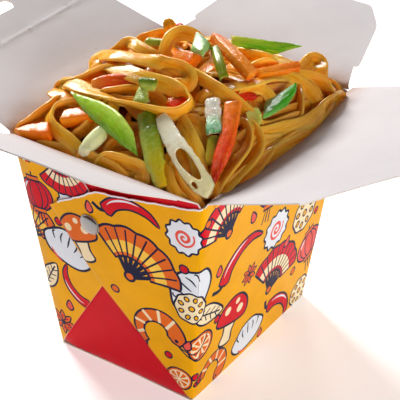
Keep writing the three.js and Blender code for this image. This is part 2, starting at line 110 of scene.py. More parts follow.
def add_camera():
    right, up, forward = camera_axes()
    data = bpy.data.cameras.new("camera")
    data.lens = LENS
    data.sensor_width = SENSOR
    data.clip_start = 0.01
    data.clip_end = 20
    camera = bpy.data.objects.new("camera", data)
    bpy.context.scene.collection.objects.link(camera)
    axes = Matrix((right, up, -forward)).transposed().to_4x4()
    camera.matrix_world = Matrix.Translation(Vector(CAMERA_PLACE * MM)) @ axes
    bpy.context.scene.camera = camera


add_camera()

# ------------------------------------------------------------------ colours and materials


def srgb(r, g, b):
    """Linear colour of a 0 to 255 screen colour."""
    channels = [c / 255 for c in (r, g, b)]
    return [c / 12.92 if c <= 0.04045 else ((c + 0.055) / 1.055) ** 2.4 for c in channels] + [1.0]


def brighter(colour, gain, lift=0.0):
    return [min(1.0, c * gain + lift) for c in colour[:3]] + [1.0]


class Shader:
    """A Principled material with small helpers for its nodes. In a socket's name _ is a space."""

    def __init__(self, name, **settings):
        self.material = bpy.data.materials.new(name)
        self.material.use_nodes = True
        self.tree = self.material.node_tree
        self.surface = next(n for n in self.tree.nodes if n.type == "BSDF_PRINCIPLED")
        for socket, value in settings.items():
            self.surface.inputs[socket.replace("_", " ")].default_value = value

    def feed(self, target, value):
        if isinstance(value, bpy.types.NodeSocket):
            self.tree.links.new(value, target)
        else:
            target.default_value = value

    def node(self, kind, **inputs):
        made = self.tree.nodes.new("ShaderNode" + kind)
        for socket, value in inputs.items():
            self.feed(made.inputs[socket.replace("_", " ")], value)
        return made

    def noise(self, scale, detail, stretch=None):
        place = self.node("TexCoord").outputs["Object"]
        if stretch:
            place = self.node("Mapping", Vector=place, Scale=stretch).outputs["Vector"]
        made = self.node("TexNoise", Vector=place, Scale=scale, Detail=detail, Roughness=0.55)
        return made.outputs["Fac"]

    def streaks(self, along, across, seed=0.0):
        """Noise drawn out along a strip, with cells so many millimetres long and wide."""
        x = self.math("DIVIDE", self.attribute("run"), along)
        y = self.math("DIVIDE", self.attribute("aside"), across)
        z = self.math("MULTIPLY", seed, 37.0)
        place = self.node("CombineXYZ", X=x, Y=y, Z=z).outputs["Vector"]
        return self.node("TexNoise", Vector=place, Scale=1.0, Detail=3.0).outputs["Fac"]

    def attribute(self, name):
        made = self.node("Attribute")
        made.attribute_name = name
        return made.outputs["Fac"]

    def ramp(self, value, stops):
        made = self.node("ValToRGB", Fac=value)
        elements = made.color_ramp.elements
        while len(elements) < len(stops):
            elements.new(0.5)
        for element, (place, colour) in zip(elements, stops):
            element.position = place
            element.color = colour
        return made.outputs["Color"]

    def span(self, value, low, high, to_low=0.0, to_high=1.0):
        limits = {"From_Min": low, "From_Max": high, "To_Min": to_low, "To_Max": to_high}
        return self.node("MapRange", Value=value, **limits).outputs["Result"]

    def patches(self, scale, detail, *limits):
        return self.span(self.noise(scale, detail), *limits)

    def mix(self, share, a, b):
        made = self.node("Mix")
        made.data_type = "RGBA"
        sockets = {socket.identifier: socket for socket in made.inputs}
        for name, value in (("Factor_Float", share), ("A_Color", a), ("B_Color", b)):
            self.feed(sockets[name], value)
        return next(socket for socket in made.outputs if socket.identifier == "Result_Color")

    def math(self, how, a, b):
        made = self.node("Math")
        made.operation = how
        self.feed(made.inputs[0], a)
        self.feed(made.inputs[1], b)
        return made.outputs[0]

    def link(self, output, socket):
        self.tree.links.new(output, self.surface.inputs[socket])

    def bump(self, height, distance, strength=1.0):
        """distance is in millimetres."""
        made = self.node("Bump", Height=height, Strength=strength, Distance=distance * MM)
        self.link(made.outputs["Normal"], "Normal")
        self.link(made.outputs["Normal"], "Coat Normal")


def card_material(name, colour, roughness, tooth, mottle=0.06, stain=None):
    """Paperboard: a fine tooth, faint mottling and slightly uneven gloss."""
    shader = Shader(name, Specular_IOR_Level=0.06)
    dark, light = brighter(colour, 1 - mottle), brighter(colour, 1 + mottle)
    tone = shader.ramp(shader.noise(90, 5), [(0.3, dark), (0.7, light)])
    if stain:
        warm = shader.span(shader.attribute("stain"), 0.0, 1.0)
        blotch = shader.math("MULTIPLY", warm, shader.patches(60, 4, 0.3, 0.75, 0.3, 1.0))
        tone = shader.mix(blotch, tone, stain)
    shader.link(tone, "Base Color")
    shader.link(shader.patches(240, 3, 0.3, 0.7, roughness - 0.05, roughness + 0.08), "Roughness")
    shader.bump(shader.noise(2600, 3), tooth)
    return shader.material


PRINT = {
    "ground": srgb(224, 158, 0),
    "navy": srgb(24, 26, 54),
    "red": srgb(198, 8, 28),
    "orange": srgb(214, 98, 24),
    "cream": srgb(230, 211, 172),
    "white": srgb(214, 218, 224),
    "pale": srgb(232, 186, 70),
    "coral": srgb(216, 80, 68),
}
INKS = list(PRINT)
RED = INKS.index("red")
CARD_MATERIALS = [card_material("print_" + ink, colour, 0.4, 0.02) for ink, colour in PRINT.items()]
INSIDE = len(CARD_MATERIALS)
CARD_MATERIALS.append(
    card_material("white_card", srgb(219, 214, 215), 0.62, 0.03, mottle=0.02, stain=srgb(160, 108, 62))
)
EDGE = len(CARD_MATERIALS)
CARD_MATERIALS.append(card_material("cut_edge", srgb(214, 204, 196), 0.8, 0.06, mottle=0.08))


def rivet_material():
    shader = Shader("rivet_metal", Metallic=1.0, Base_Color=srgb(140, 138, 136))
    scratch = shader.noise(900, 4, stretch=(1, 1, 6))
    shader.link(shader.span(scratch, 0.3, 0.7, 0.14, 0.34), "Roughness")
    shader.bump(shader.noise(500, 4), 0.04, 0.6)
    return shader.material


# ------------------------------------------------------------------ meshes


def make_piece(name, points, faces, materials, face_materials=None, attributes=None, crisp=40):
    """A mesh object; edges sharper than crisp degrees stay sharp."""
    mesh = bpy.data.meshes.new(name)
    mesh.from_pydata((np.asarray(points) * MM).tolist(), [], [list(map(int, f)) for f in faces])
    for material in materials:
        mesh.materials.append(material)
    if face_materials is not None:
        mesh.polygons.foreach_set("material_index", np.asarray(face_materials, np.int32))
    mesh.polygons.foreach_set("use_smooth", np.ones(len(mesh.polygons), bool))
    for key, values in (attributes or {}).items():
        made = mesh.attributes.new(key, "FLOAT", "POINT")
        made.data.foreach_set("value", np.asarray(values, np.float32))
    mesh.update()
    mesh.set_sharp_from_angle(angle=math.radians(crisp))
    piece = bpy.data.objects.new(name, mesh)
    bpy.context.scene.collection.objects.link(piece)
    return piece


def on_box(piece, slot, node):
    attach(piece, "box")
    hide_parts(node)
    return piece


def smooth(t):
    t = np.clip(t, 0, 1)
    return t * t * (3 - 2 * t)


def ease(t, k):
    """0 well below 0 and t well above it, rounded within k."""
    return (t + np.sqrt(t * t + k * k)) / 2


def half_turn(points):
    return points * np.array([-1.0, -1.0, 1.0])


def left_of(points):
    """Unit normals to the left of a flat path."""
    along = np.gradient(points, axis=0)
    return unit(np.stack([-along[:, 1], along[:, 0]], axis=1) + 1e-9)


def catmull(points, per=8, closed=False):
    """A smooth curve through points, with per steps between two of them."""
    points = np.asarray(points, float)
    if closed:
        ring = np.vstack([points[-1:], points, points[:2]])
    else:
        ring = np.vstack([2 * points[:1] - points[1:2], points, 2 * points[-1:] - points[-2:-1]])
    out = []
    for a, b, c, d in zip(ring, ring[1:], ring[2:], ring[3:]):
        for t in np.arange(per) / per:
            bent = 2 * b + (c - a) * t + (2 * a - 5 * b + 4 * c - d) * t**2
            out.append(0.5 * (bent + (3 * b - a - 3 * c + d) * t**3))
    if not closed:
        out.append(points[-1])
    return np.array(out)


def run_along(points):
    """The length of a path up to each of its points."""
    return np.concatenate([[0], np.cumsum(np.linalg.norm(np.diff(points, axis=0), axis=1))])


def columns_at(at, places, columns):
    """Each column of a table, read off between its rows."""
    return np.stack([np.interp(at, places, column) for column in columns.T], axis=1)


def resample(points, spacing, extra=None):
    """The curve at even steps. extra is a column or columns carried along with it."""
    length = run_along(points)
    count = max(3, int(round(length[-1] / spacing)) + 1)
    columns = points if extra is None else np.hstack([points, extra])
    return columns_at(np.linspace(0, length[-1], count), length, columns)


def inside(points, loop):
    """Which points lie inside a closed loop, by winding number."""
    points = np.asarray(points)
    result = np.zeros(len(points), bool)
    near = np.flatnonzero(((points >= loop.min(0)) & (points <= loop.max(0))).all(1))
    if not len(near):
        return result
    px, py = points[near, 0][:, None], points[near, 1][:, None]
    x0, y0 = loop[:, 0][None], loop[:, 1][None]
    x1, y1 = np.roll(loop[:, 0], -1)[None], np.roll(loop[:, 1], -1)[None]
    side = (x1 - x0) * (py - y0) - (px - x0) * (y1 - y0)
    winding = ((y0 <= py) & (y1 > py) & (side > 0)).sum(1)
    winding -= ((y0 > py) & (y1 <= py) & (side < 0)).sum(1)
    result[near] = winding != 0
    return result


def finer(loop, longest):
    """A closed loop with no edge longer than longest."""
    out = []
    for a, b in zip(loop, np.roll(loop, -1, axis=0)):
        pieces = max(1, math.ceil(np.linalg.norm(b - a) / longest))
        out.extend(a + (b - a) * k / pieces for k in range(pieces))
    return np.array(out)


def cut_out(outline, shapes=(), holes=(), lattice=(), longest=2.5):
    """A flat sheet as triangles, each in the ink of the last shape that covers it."""
    loops = [finer(loop, longest) for loop in [outline, *holes, *(loop for loop, _ in shapes)]]
    points, edges = [], []
    for loop in loops:
        start = len(points)
        points.extend(loop)
        edges.extend((start + i, start + (i + 1) % len(loop)) for i in range(len(loop)))
    points.extend(lattice)
    flat = [Vector((float(p[0]), float(p[1]))) for p in points]
    verts, _, faces, _, _, _ = delaunay_2d_cdt(flat, edges, [], 0, 1e-4, False)
    verts = np.array([tuple(v) for v in verts])
    faces = np.array(faces)
    middle = verts[faces].mean(1)
    keep = inside(middle, loops[0])
    for hole in holes:
        keep &= ~inside(middle, hole)
    faces, middle = faces[keep], middle[keep]
    inks = np.zeros(len(faces), int)
    for loop, ink in shapes:
        inks[inside(middle, loop)] = INKS.index(ink)
    used, faces = np.unique(faces, return_inverse=True)
    return verts[used], faces.reshape(-1, 3), inks


def vertex_normals(points, faces):
    a, b, c = (points[faces[:, corner]] for corner in range(3))
    face_normals = np.cross(b - a, c - a)
    normals = np.zeros_like(points)
    for corner in range(3):
        np.add.at(normals, faces[:, corner], face_normals)
    return unit(normals)


def both_sides(faces, count):
    """The faces of a sheet, of its back, whose points follow its count points, and of its rim."""
    pairs = np.vstack([faces[:, [0, 1]], faces[:, [1, 2]], faces[:, [2, 0]]]).tolist()
    known = {tuple(pair) for pair in pairs}
    rim = [(b, a, a + count, b + count) for a, b in pairs if (b, a) not in known]
    return faces.tolist() + (faces[:, ::-1] + count).tolist() + rim


def card_pieces(names, points, faces, inks, stain=0.0):
    """Card behind its outer face, stained on its inner face. A second name is for it a half turn on."""
    both = np.vstack([points, points - vertex_normals(points, faces) * CARD])
    all_faces = both_sides(faces, len(points))
    materials = list(inks) + [INSIDE] * len(faces)
    materials += [EDGE] * (len(all_faces) - len(materials))
    stains = {"stain": np.append(np.zeros(len(points)), np.zeros(len(points)) + stain)}
    for name, made in zip(names, (both, half_turn(both))):
        yield make_piece(name, made, all_faces, CARD_MATERIALS, materials, stains)


# ------------------------------------------------------------------ the print: generic motifs
LINE = 0.4  # half the width of the navy outline


def moved(loop, x=0.0, y=0.0, turn=0.0, size=1.0):
    a = math.radians(turn)
    c, s = math.cos(a) * size, math.sin(a) * size
    return np.asarray(loop, float) @ np.array([[c, s], [-s, c]]) + np.array([x, y])


def circle(r, at=(0, 0), n=26, squash=1.0, turn=0.0, wave=0.0, lobes=0):
    angle = np.linspace(0, 2 * np.pi, n, endpoint=False)
    reach = r * (1 + wave * np.cos(lobes * angle))
    return moved(np.stack([reach * np.cos(angle), squash * reach * np.sin(angle)], axis=1), *at, turn)


def polar(r, angle, at=(0, 0)):
    return np.stack([at[0] + r * np.cos(angle), at[1] + r * np.sin(angle)], axis=1)


def arc(r, start, stop, n=14, at=(0, 0)):
    return polar(r, np.radians(np.linspace(start, stop, n)), at)


def grown(loop, by):
    ahead = np.roll(loop, -1, axis=0) - np.roll(loop, 1, axis=0)
    normal = unit(np.stack([ahead[:, 1], -ahead[:, 0]], axis=1) + 1e-9)
    area = np.sum(loop[:, 0] * np.roll(loop[:, 1], -1) - np.roll(loop[:, 0], -1) * loop[:, 1])
    return loop + normal * by * (1 if area > 0 else -1)


def band(points, normal, half):
    """The outline of a line with its two sides half away from it."""
    return np.vstack([points + normal * half, (points - normal * half)[::-1]])


def stroke(points, width, taper=0.0):
    """A line of a width, its ends narrowed by taper."""
    points = np.asarray(points, float)
    share = np.linspace(0, 1, len(points))
    half = width / 2 * (1 - taper * np.abs(2 * share - 1) ** 2)
    return band(points, left_of(points), half[:, None])


def drawn(points, width, taper=0.0, ink="navy"):
    return [(stroke(points, width, taper), ink)]


def outlined(loop, ink, line=LINE):
    return [(grown(loop, line), "navy"), (grown(loop, -line), ink)]


def fan_motif(inks=("red", "cream")):
    outer = arc(15, 25, 155, 53)
    outer *= (1 + 0.04 * np.abs(np.sin(np.linspace(0, 10 * np.pi, 53) / 2)))[:, None]
    leaf = np.vstack([outer, arc(6, 155, 25, 20)])
    stripe = np.vstack([arc(11, 27, 153, 24), arc(7.4, 153, 27, 20)])
    shapes = []
    for a in np.radians(range(35, 150, 18)):
        shapes += drawn([[0, -1], 6 * unit([math.cos(a), math.sin(a)])], 1.3)
    shapes += outlined(leaf, inks[0]) + [(stripe, inks[1])]
    for a in np.radians(range(38, 150, 13)):
        ray = np.array([math.cos(a), math.sin(a)])
        shapes += drawn([6.4 * ray, 14.6 * ray], 0.55)
    return shapes + outlined(circle(1.5, (0, -0.6), 14), "orange")


def lantern_motif(ink="red"):
    shapes = drawn([[0, 10], [0, 6]], 0.7) + drawn([[0, -6], [0, -13]], 0.7)
    for x in (-1.4, 1.4):
        shapes += drawn([[x, -8.5], [1.4 * x, -13.5]], 0.6)
    shapes += outlined(circle(8, squash=0.86), ink)
    angle = np.linspace(-1.5, 1.5, 13)
    for r in (-2.6, 2.6, -5.6, 5.6):
        shapes += drawn(np.stack([r * np.cos(angle), 6.3 * np.sin(angle)], 1), 0.55)
    cap = np.array([[-3, 0], [3, 0], [3, 2], [-3, 2]], float)
    shapes += outlined(moved(cap, 0, 6), "orange") + outlined(moved(cap, 0, -8), "orange")
    return shapes + drawn(arc(5.6, 120, 165, 8), 0.9, 0.8, "white")


def prawn_motif():
    share = np.linspace(0, 1, 34)
    half = 3.7 * (1 - 0.62 * share) * np.clip(share * 9 + 0.35, 0, 1)
    spine = polar(1, np.radians(-40 + 250 * share))
    body = np.vstack([spine * (7 + half)[:, None], (spine * (7 - half)[:, None])[::-1]])
    shapes = drawn(catmull([[6, -5], [10, -9], [15, -9], [19, -6]], 5), 0.6)
    shapes += drawn(catmull([[6, -5], [9, -11], [14, -13]], 5), 0.6)
    for turn in (205, 240):
        shapes += outlined(moved(circle(3.2, squash=0.5), -8.2, -3.4 + (turn - 222) * 0.05, turn + 30), "red")
    shapes += outlined(body, "orange")
    for k in (8, 13, 18, 23, 28):
        stripe = [spine[k] * (7 - half[k] * 0.9), spine[k + 1] * (7 + half[k] * 0.9)]
        shapes += drawn(stripe, 1.1, ink="cream")
    return shapes + [(circle(0.8, (6.2, -3.2), 10), "navy")]


def fishcake_motif(ink="coral"):
    angle = np.linspace(0.3, 4.1 * np.pi, 46)
    edge = circle(6.6, n=84, wave=0.07, lobes=12)
    return outlined(edge, "white") + drawn(polar(0.3 * angle, angle), 1.15, 0.5, ink)


def chilli_motif():
    spine = catmull([[-10, 0], [-5, 3.2], [2, 3.6], [8, 0.6], [11.5, -4.5]], 6)
    share = np.linspace(0, 1, len(spine))
    along = unit(np.gradient(spine, axis=0))
    normal = np.stack([-along[:, 1], along[:, 0]], axis=1)
    half = (2.9 * np.sqrt(np.clip(1 - share, 0, 1)) * np.clip(share * 12 + 0.5, 0, 1))[:, None]
    shapes = drawn(catmull([[-9.5, 0.2], [-12, 0.6], [-14.5, 3]], 4), 1.5)
    shapes += outlined(band(spine, normal, half), "red")
    return shapes + drawn(spine[3:16] + normal[3:16], 0.8, 0.9, "white")


def mushroom_motif(cap_ink="orange"):
    cap = [[-8, 0], [-7, 4.6], [-2.5, 8], [2.5, 8], [7, 4.6], [8, 0], [4.5, -1.6], [-4.5, -1.6]]
    stem = [[-2.6, -1], [-2.4, -5], [-3, -8.4], [0, -9.4], [3, -8.4], [2.4, -5], [2.6, -1]]
    shapes = outlined(catmull(stem, 4, True), "cream") + outlined(catmull(cap, 5, True), cap_ink)
    spots = ((1.5, (-3.4, 3.6)), (1.1, (1, 5.8)), (1.6, (3.6, 2.6)))
    return shapes + [(circle(r, at, 12), "cream") for r, at in spots]


def dumpling_motif():
    bag = [[-9, 0], [-6, -4.6], [0, -6], [6, -4.6], [9, 0], [6, 4], [2.6, 6.4], [-2.6, 6.4], [-6, 4]]
    shapes = outlined(catmull(bag, 5, True), "white")
    for x in (-5.4, -2.7, 0, 2.7, 5.4):
        shapes += drawn(catmull([[x, 5.8 - abs(x) * 0.42], [x * 1.12, 2.6], [x * 0.9, 0.4]], 5), 0.6, 0.6)
    return shapes + drawn(arc(6.5, 215, 265, 8), 0.9, 0.8, "coral")


def lotus_motif():
    shapes = outlined(circle(7, n=56, wave=0.03, lobes=8), "cream")
    for k in range(8):
        turn = 45 * k + 22
        spot = (4.6 * math.cos(math.radians(turn)), 4.6 * math.sin(math.radians(turn)))
        shapes += outlined(circle(1.15, spot, 12, 0.8, turn), "ground", 0.28)
    return shapes + outlined(circle(1.2, n=12), "ground", 0.28)


def citrus_motif():
    shapes = outlined(circle(6.4), "orange") + [(circle(5.2), "cream")]
    wedge = np.vstack([[[0, 0]], arc(4, -17, 17, 6)])
    for k in range(8):
        a = k * math.pi / 4
        shapes.append((moved(wedge, 0.6 * math.cos(a), 0.6 * math.sin(a), 45 * k), "orange"))
    return shapes


def anise_motif():
    petal = catmull([[0.8, 0], [3, 1.5], [6.4, 0], [3, -1.5]], 5, True)
    shapes = []
    for turn in range(0, 360, 45):
        shapes += outlined(moved(petal, turn=turn), "orange", 0.35)
        shapes.append((moved(circle(0.8, (3.3, 0), 10, 0.6), turn=turn), "red"))
    return shapes + [(circle(1, n=12), "navy")]


def leaf_motif():
    blade = catmull([[-8.5, 0], [-4, 3.4], [2, 3.6], [9, 0], [2, -3.6], [-4, -3.4]], 6, True)
    shapes = outlined(blade, "cream") + drawn([[-11.5, 0], [-4, 0], [7, 0]], 0.65)
    for x in (-5, -2, 1, 4):
        for side in (-1, 1):
            shapes += drawn([[x, 0], [x + 2, side * (2.6 - abs(x) * 0.18)]], 0.5)
    return shapes


def waves_motif():
    shapes = []
    for x, y in ((-6.5, 3.4), (6.5, 3.4), (0, 0)):
        for r, ink in ((6.4, "navy"), (5.6, "red"), (4.2, "cream"), (2.9, "navy"), (2.3, "orange")):
            shapes.append((moved(np.vstack([arc(r, 0, 180, 22), [[-r, -0.1]]]), x, y), ink))
    return shapes


def dot_motif(ink="red"):
    return outlined(circle(1.5, n=14), ink, 0.3)


def drop_motif():
    return outlined(catmull([[0, 2.6], [1.5, -0.4], [0, -1.9], [-1.5, -0.4]], 5, True), "coral", 0.3)


MOTIFS = {
    "fan": fan_motif(),
    "fan_orange": fan_motif(("orange", "pale")),
    "lantern": lantern_motif(),
    "lantern_coral": lantern_motif("coral"),
    "prawn": prawn_motif(),
    "fishcake": fishcake_motif(),
    "fishcake_orange": fishcake_motif("orange"),
    "chilli": chilli_motif(),
    "mushroom": mushroom_motif(),
    "mushroom_red": mushroom_motif("red"),
    "dumpling": dumpling_motif(),
    "lotus": lotus_motif(),
    "citrus": citrus_motif(),
    "anise": anise_motif(),
    "leaf": leaf_motif(),
    "waves": waves_motif(),
    "dot": dot_motif(),
    "dot_orange": dot_motif("orange"),
    "drop": drop_motif(),
}

# Where the motifs lie: motif, x, y, turn in degrees, size. On a side wall x runs along the wall and y
# up its slope; on a web x runs along the end face and y up it.
SIDE_PRINT = [
    ("fan", -33, 79, 18, 1.35),
    ("lantern", -4, 84, -10, 1.2),
    ("prawn", 21, 81, 25, 1.3),
    ("waves", 44, 88, -8, 1.2),
    ("dumpling", -51, 58, 62, 1.4),
    ("chilli", -22, 60, 35, 1.25),
    ("fishcake", 4, 59, 0, 1.3),
    ("lotus", 27, 54, 10, 1.25),
    ("fan_orange", 46, 55, -28, 1.2),
    ("leaf", -40, 44, -20, 1.2),
    ("fan", 6, 28, -22, 1.35),
    ("lantern_coral", 37, 32, 14, 1.15),
    ("mushroom_red", -22, 30, -14, 1.35),
    ("citrus", -42, 29, 0, 1.1),
    ("prawn", -31, 9, -30, 1.0),
    ("anise", -13, 47, 12, 0.8),
    ("dumpling", -6, 11, 10, 1.25),
    ("chilli", 17, 10, -32, 1.15),
    ("lotus", 36, 7, 20, 1.05),
    ("dot", 9, 72, 0, 1.2),
    ("dot_orange", -48, 91, 0, 1.2),
    ("dot", 38, 73, 0, 1.2),
    ("drop", -16, 76, 20, 1.3),
    ("drop", 15, 46, -30, 1.2),
    ("dot", -33, 37, 0, 1.2),
    ("dot", -43, 13, 0, 1.2),
    ("dot_orange", 26, 24, 0, 1.2),
    ("drop", 5, 4, 0, 1.1),
    ("dot", 38, 49, 0, 1.1),
    ("dot_orange", 9, 95, 0, 1.2),
    ("drop", -36, 62, 0, 1.2),
]
TOP_WEB_PRINT = [
    ("chilli", 11, 86, 14, 1.1),
    ("fishcake", 35, 84, 10, 1.15),
    ("fan_orange", 10, 57, -24, 1.45),
    ("mushroom", -13, 66, 22, 1.2),
    ("lotus", 36, 50, 0, 1.05),
    ("prawn", 20, 32, 20, 1.2),
    ("citrus", 28, 11, 0, 0.9),
    ("drop", -7, 82, 10, 1.2),
    ("dot", 34, 69, 0, 1.3),
    ("dot_orange", 2, 47, 0, 1.2),
    ("drop", 33, 30, -20, 1.2),
    ("dot", 24, 22, 0, 1.1),
]
UNDER_WEB_PRINT = [
    ("lantern", -34, 77, 8, 1.05),
    ("fishcake_orange", -16, 79, 0, 1.0),
    ("dumpling", -21, 56, -18, 1.35),
    ("leaf", -33, 37, 60, 1.05),
    ("chilli", -19, 37, 130, 0.9),
    ("anise", -29, 14, 0, 1.0),
    ("dot", -24, 68, 0, 1.2),
    ("dot_orange", -39, 60, 0, 1.2),
    ("drop", -24, 25, 0, 1.2),
    ("fan", -20, 98, 200, 1.0),
]
FLAP_PRINT = [
    ("mushroom", -38, 22, 150, 1.3),
    ("fan_orange", -15, 25, 200, 1.3),
    ("fishcake", 7, 15, 0, 1.25),
    ("lantern", 25, 24, 170, 1.25),
    ("prawn", 43, 18, 120, 1.1),
    ("chilli", 7, 37, 20, 1.15),
    ("citrus", -34, 45, 0, 1.1),
    ("leaf", 31, 45, 130, 1.2),
    ("dumpling", -9, 54, 190, 1.25),
    ("dot", -2, 31, 0, 1.2),
    ("dot_orange", 41, 35, 0, 1.2),
    ("dot", 14, 57, 0, 1.2),
    ("drop", -27, 35, 0, 1.2),
]


def laid_out(layout, place=lambda loop: loop):
    shapes = []
    for motif, *spot in layout:
        shapes += [(place(moved(loop, *spot)), ink) for loop, ink in MOTIFS[motif]]
    return shapes


# ------------------------------------------------------------------ the folded card
# A side sheet is one wall with a web at either end, flat: a along the wall and b up its slope. The web
# at -a is folded over the end wall on top, and the one at +a lies beneath the other sheet's.
SIDE_UP = unit([FLARE[0], 0, HEIGHT])
END_UP = unit([0, FLARE[1], HEIGHT])
SIDE_OUT = unit([HEIGHT, 0, -FLARE[0]])
END_OUT = unit([0, HEIGHT, -FLARE[1]])
FRONT_UP = END_UP * [1, -1, 1]
FRONT_OUT = END_OUT * [1, -1, 1]
FOLD_LENGTH = math.hypot(SIDE_SLANT, FLARE[1])
FOLD_ON_SIDE = np.array([FLARE[1], SIDE_SLANT]) / FOLD_LENGTH
FOLD_ON_END = np.array([FLARE[0], END_SLANT]) / FOLD_LENGTH
FOLD_LINE = unit([*FLARE, HEIGHT])
INTO_SIDE = -FOLD_ON_SIDE[1] * Y + FOLD_ON_SIDE[0] * SIDE_UP
INTO_END = -FOLD_ON_END[1] * X + FOLD_ON_END[0] * END_UP

# The webs' outlines on the end face, from the base up the diagonal and along the top.
DIAGONAL = np.array([[32.8, 0], [-5, 44.8], [-27.4, 74.7]])
TOP_EDGE = [[-22.7, 78.5], [-3.2, 90.8], [15.9, 93.9], [33.6, 97.2], [43.6, 99.4]]
UNDER_DIAGONAL = [[32.8, 0], [5, 44.8], [-13.6, 74.7]]
UNDER_EDGE = [[-9, 78.5], [6.5, 87.4], [8.6, 91.3], [22, 95], [34, 98], [43.6, 99.4]]


def end_to_sheet(points, end):
    """Points on an end face, x along X, laid flat beyond the fold of the side sheet."""
    points = np.asarray(points, float) - [BASE[0], 0]
    along = points @ FOLD_ON_END
    beyond = points @ np.array([-FOLD_ON_END[1], FOLD_ON_END[0]])
    return fold_to_sheet(along, beyond, end)


def fold_to_sheet(along, beyond, end):
    """Places along a fold, and so far beyond it, on the flat sheet."""
    a = BASE[1] + along * FOLD_ON_SIDE[0] + beyond * FOLD_ON_SIDE[1]
    b = along * FOLD_ON_SIDE[1] - beyond * FOLD_ON_SIDE[0]
    return np.stack([end * a, b], axis=1)


def distance_to(points, path):
    best = np.full(len(points), np.inf)
    for a, b in zip(path, path[1:]):
        share = np.clip((points - a) @ (b - a) / ((b - a) @ (b - a)), 0, 1)
        best = np.minimum(best, np.linalg.norm(points - a - share[:, None] * (b - a), axis=1))
    return best


def web_lift(u, v, on_top):
    """How far a folded web stands off the end wall: most round the rivet, least at its diagonal."""
    lift = WEB_LIFT + RIVET_SWELL * np.exp(-(((u + 5) / 20) ** 2) - ((v - 58) / 24) ** 2)
    if on_top:
        lift += LAP * smooth((26 - u) / 12)
        lift -= DIAGONAL_DENT * np.exp(-((distance_to(np.stack([u, v], 1), DIAGONAL) / 1.1) ** 2))
    return lift


def side_surface(flat):
    """The outer face of the +X side sheet."""
    a, b = flat[:, 0], flat[:, 1]
    end = np.where(a < 0, -1.0, 1.0)
    from_fold = np.stack([np.abs(a) - BASE[1], b], axis=1)
    along = from_fold @ FOLD_ON_SIDE
    beyond = from_fold @ np.array([FOLD_ON_SIDE[1], -FOLD_ON_SIDE[0]])
    low = np.where(beyond < 0, b, along * FOLD_ON_END[1] + beyond * FOLD_ON_END[0])
    under = ease(-low, FOOT) * (beyond < 3)
    along = along + ease(low, FOOT) - low
    points = np.array([*BASE, 0]) + along[:, None] * FOLD_LINE
    points = points + ease(-beyond, FOLD)[:, None] * INTO_SIDE + ease(beyond, FOLD)[:, None] * INTO_END
    turn = smooth((beyond + 1.6) / 3.2)[:, None]
    normal = unit(SIDE_OUT * (1 - turn) + END_OUT * turn)
    crown = np.clip(1 - (a / 48) ** 2, 0, 1) * np.sin(np.clip(b / SIDE_SLANT, 0, 1) * np.pi) ** 0.8
    u = BASE[0] + along * FOLD_ON_END[0] - beyond * FOLD_ON_END[1]
    v = along * FOLD_ON_END[1] + beyond * FOLD_ON_END[0]
    lift = np.where(end < 0, web_lift(u, v, True), web_lift(-u, v, False)) * smooth(beyond / 7)
    ripple = RIPPLE * np.sin(a / 9 + 1) * np.sin(b / 13)
    points = points + normal * (WALL_SWELL * crown * (beyond < 0) + lift + ripple - under)[:, None]
    points[:, 1] *= end
    return points


def wavy(path, size=0.25):
    """A cut edge that isn't quite straight."""
    path = resample(np.asarray(path, float), 1.6)
    along = unit(np.gradient(path, axis=0))
    k = np.arange(len(path))
    wobble = size * (np.sin(k * 0.9) * np.sin(k * 0.37 + 1) + 0.4 * np.sin(k * 2.3))
    wobble[0] = wobble[-1] = 0
    return path + np.stack([-along[:, 1], along[:, 0]], axis=1) * wobble[:, None]


def lattice(low, high, step, extra=()):
    """Points in offset rows, for a mesh to pass through, with any rows of extra ones."""
    xs = np.arange(low[0], high[0], float(step))
    ys = np.arange(low[1], high[1], float(step))
    grid = np.stack(np.meshgrid(xs, ys), axis=-1).reshape(-1, 2)
    grid[:, 0] += (np.round(grid[:, 1] / step) % 2) * step / 2
    return np.vstack([grid, *extra])


def side_outline():
    top = end_to_sheet(np.vstack([DIAGONAL, wavy(TOP_EDGE)]), -1)
    under = end_to_sheet(np.vstack([UNDER_DIAGONAL, wavy(UNDER_EDGE)]), 1)
    seam = SIDE_SLANT * SEAM / HEIGHT
    bottom = [[BASE[1] - 0.2, -1.2], [-BASE[1] + 0.2, -1.2]]
    return np.vstack([top, [[-51.4, seam], [51.4, seam]], under[::-1], bottom])


def side_lattice():
    """Closer rows of points where the sheet bends: at its folds, its top web's diagonal and its foot."""
    rows = []
    for end in (-1, 1):
        for beyond in (-3.2, -2.2, -1.4, -0.7, 0, 0.7, 1.4, 2.2, 3.2, 4.6, 6.2):
            rows.append(fold_to_sheet(np.arange(0.8, FOLD_LENGTH - 1.2, 2.2), beyond, end))
    diagonal = resample(DIAGONAL, 2)
    across = unit(np.array([74.7, 64.0]))
    for off in (0.6, 1.3, 2.2, 3.4):
        rows.append(end_to_sheet(diagonal + across * off, -1))
    for b in (-0.7, -0.2, 0.3, 0.9, 1.7):
        rows.append(np.stack([np.arange(-41, 41.1, 2.2), np.full(38, b)], axis=1))
    return lattice((-110, 0), (110, 101), 2.6, rows)


def card_walls():
    shapes = laid_out(SIDE_PRINT)
    shapes += laid_out(TOP_WEB_PRINT, lambda loop: end_to_sheet(loop, -1))
    shapes += laid_out(UNDER_WEB_PRINT, lambda loop: end_to_sheet(loop * [-1, 1], 1))
    shapes.append((end_to_sheet(stroke(wavy(TOP_EDGE), 1.3), -1), "white"))
    flat, faces, inks = cut_out(side_outline(), shapes, lattice=side_lattice())
    soaked = smooth((flat[:, 1] - 70) / 30)
    yield from card_pieces(("card_side_right", "card_side_left"), side_surface(flat), faces, inks, soaked)


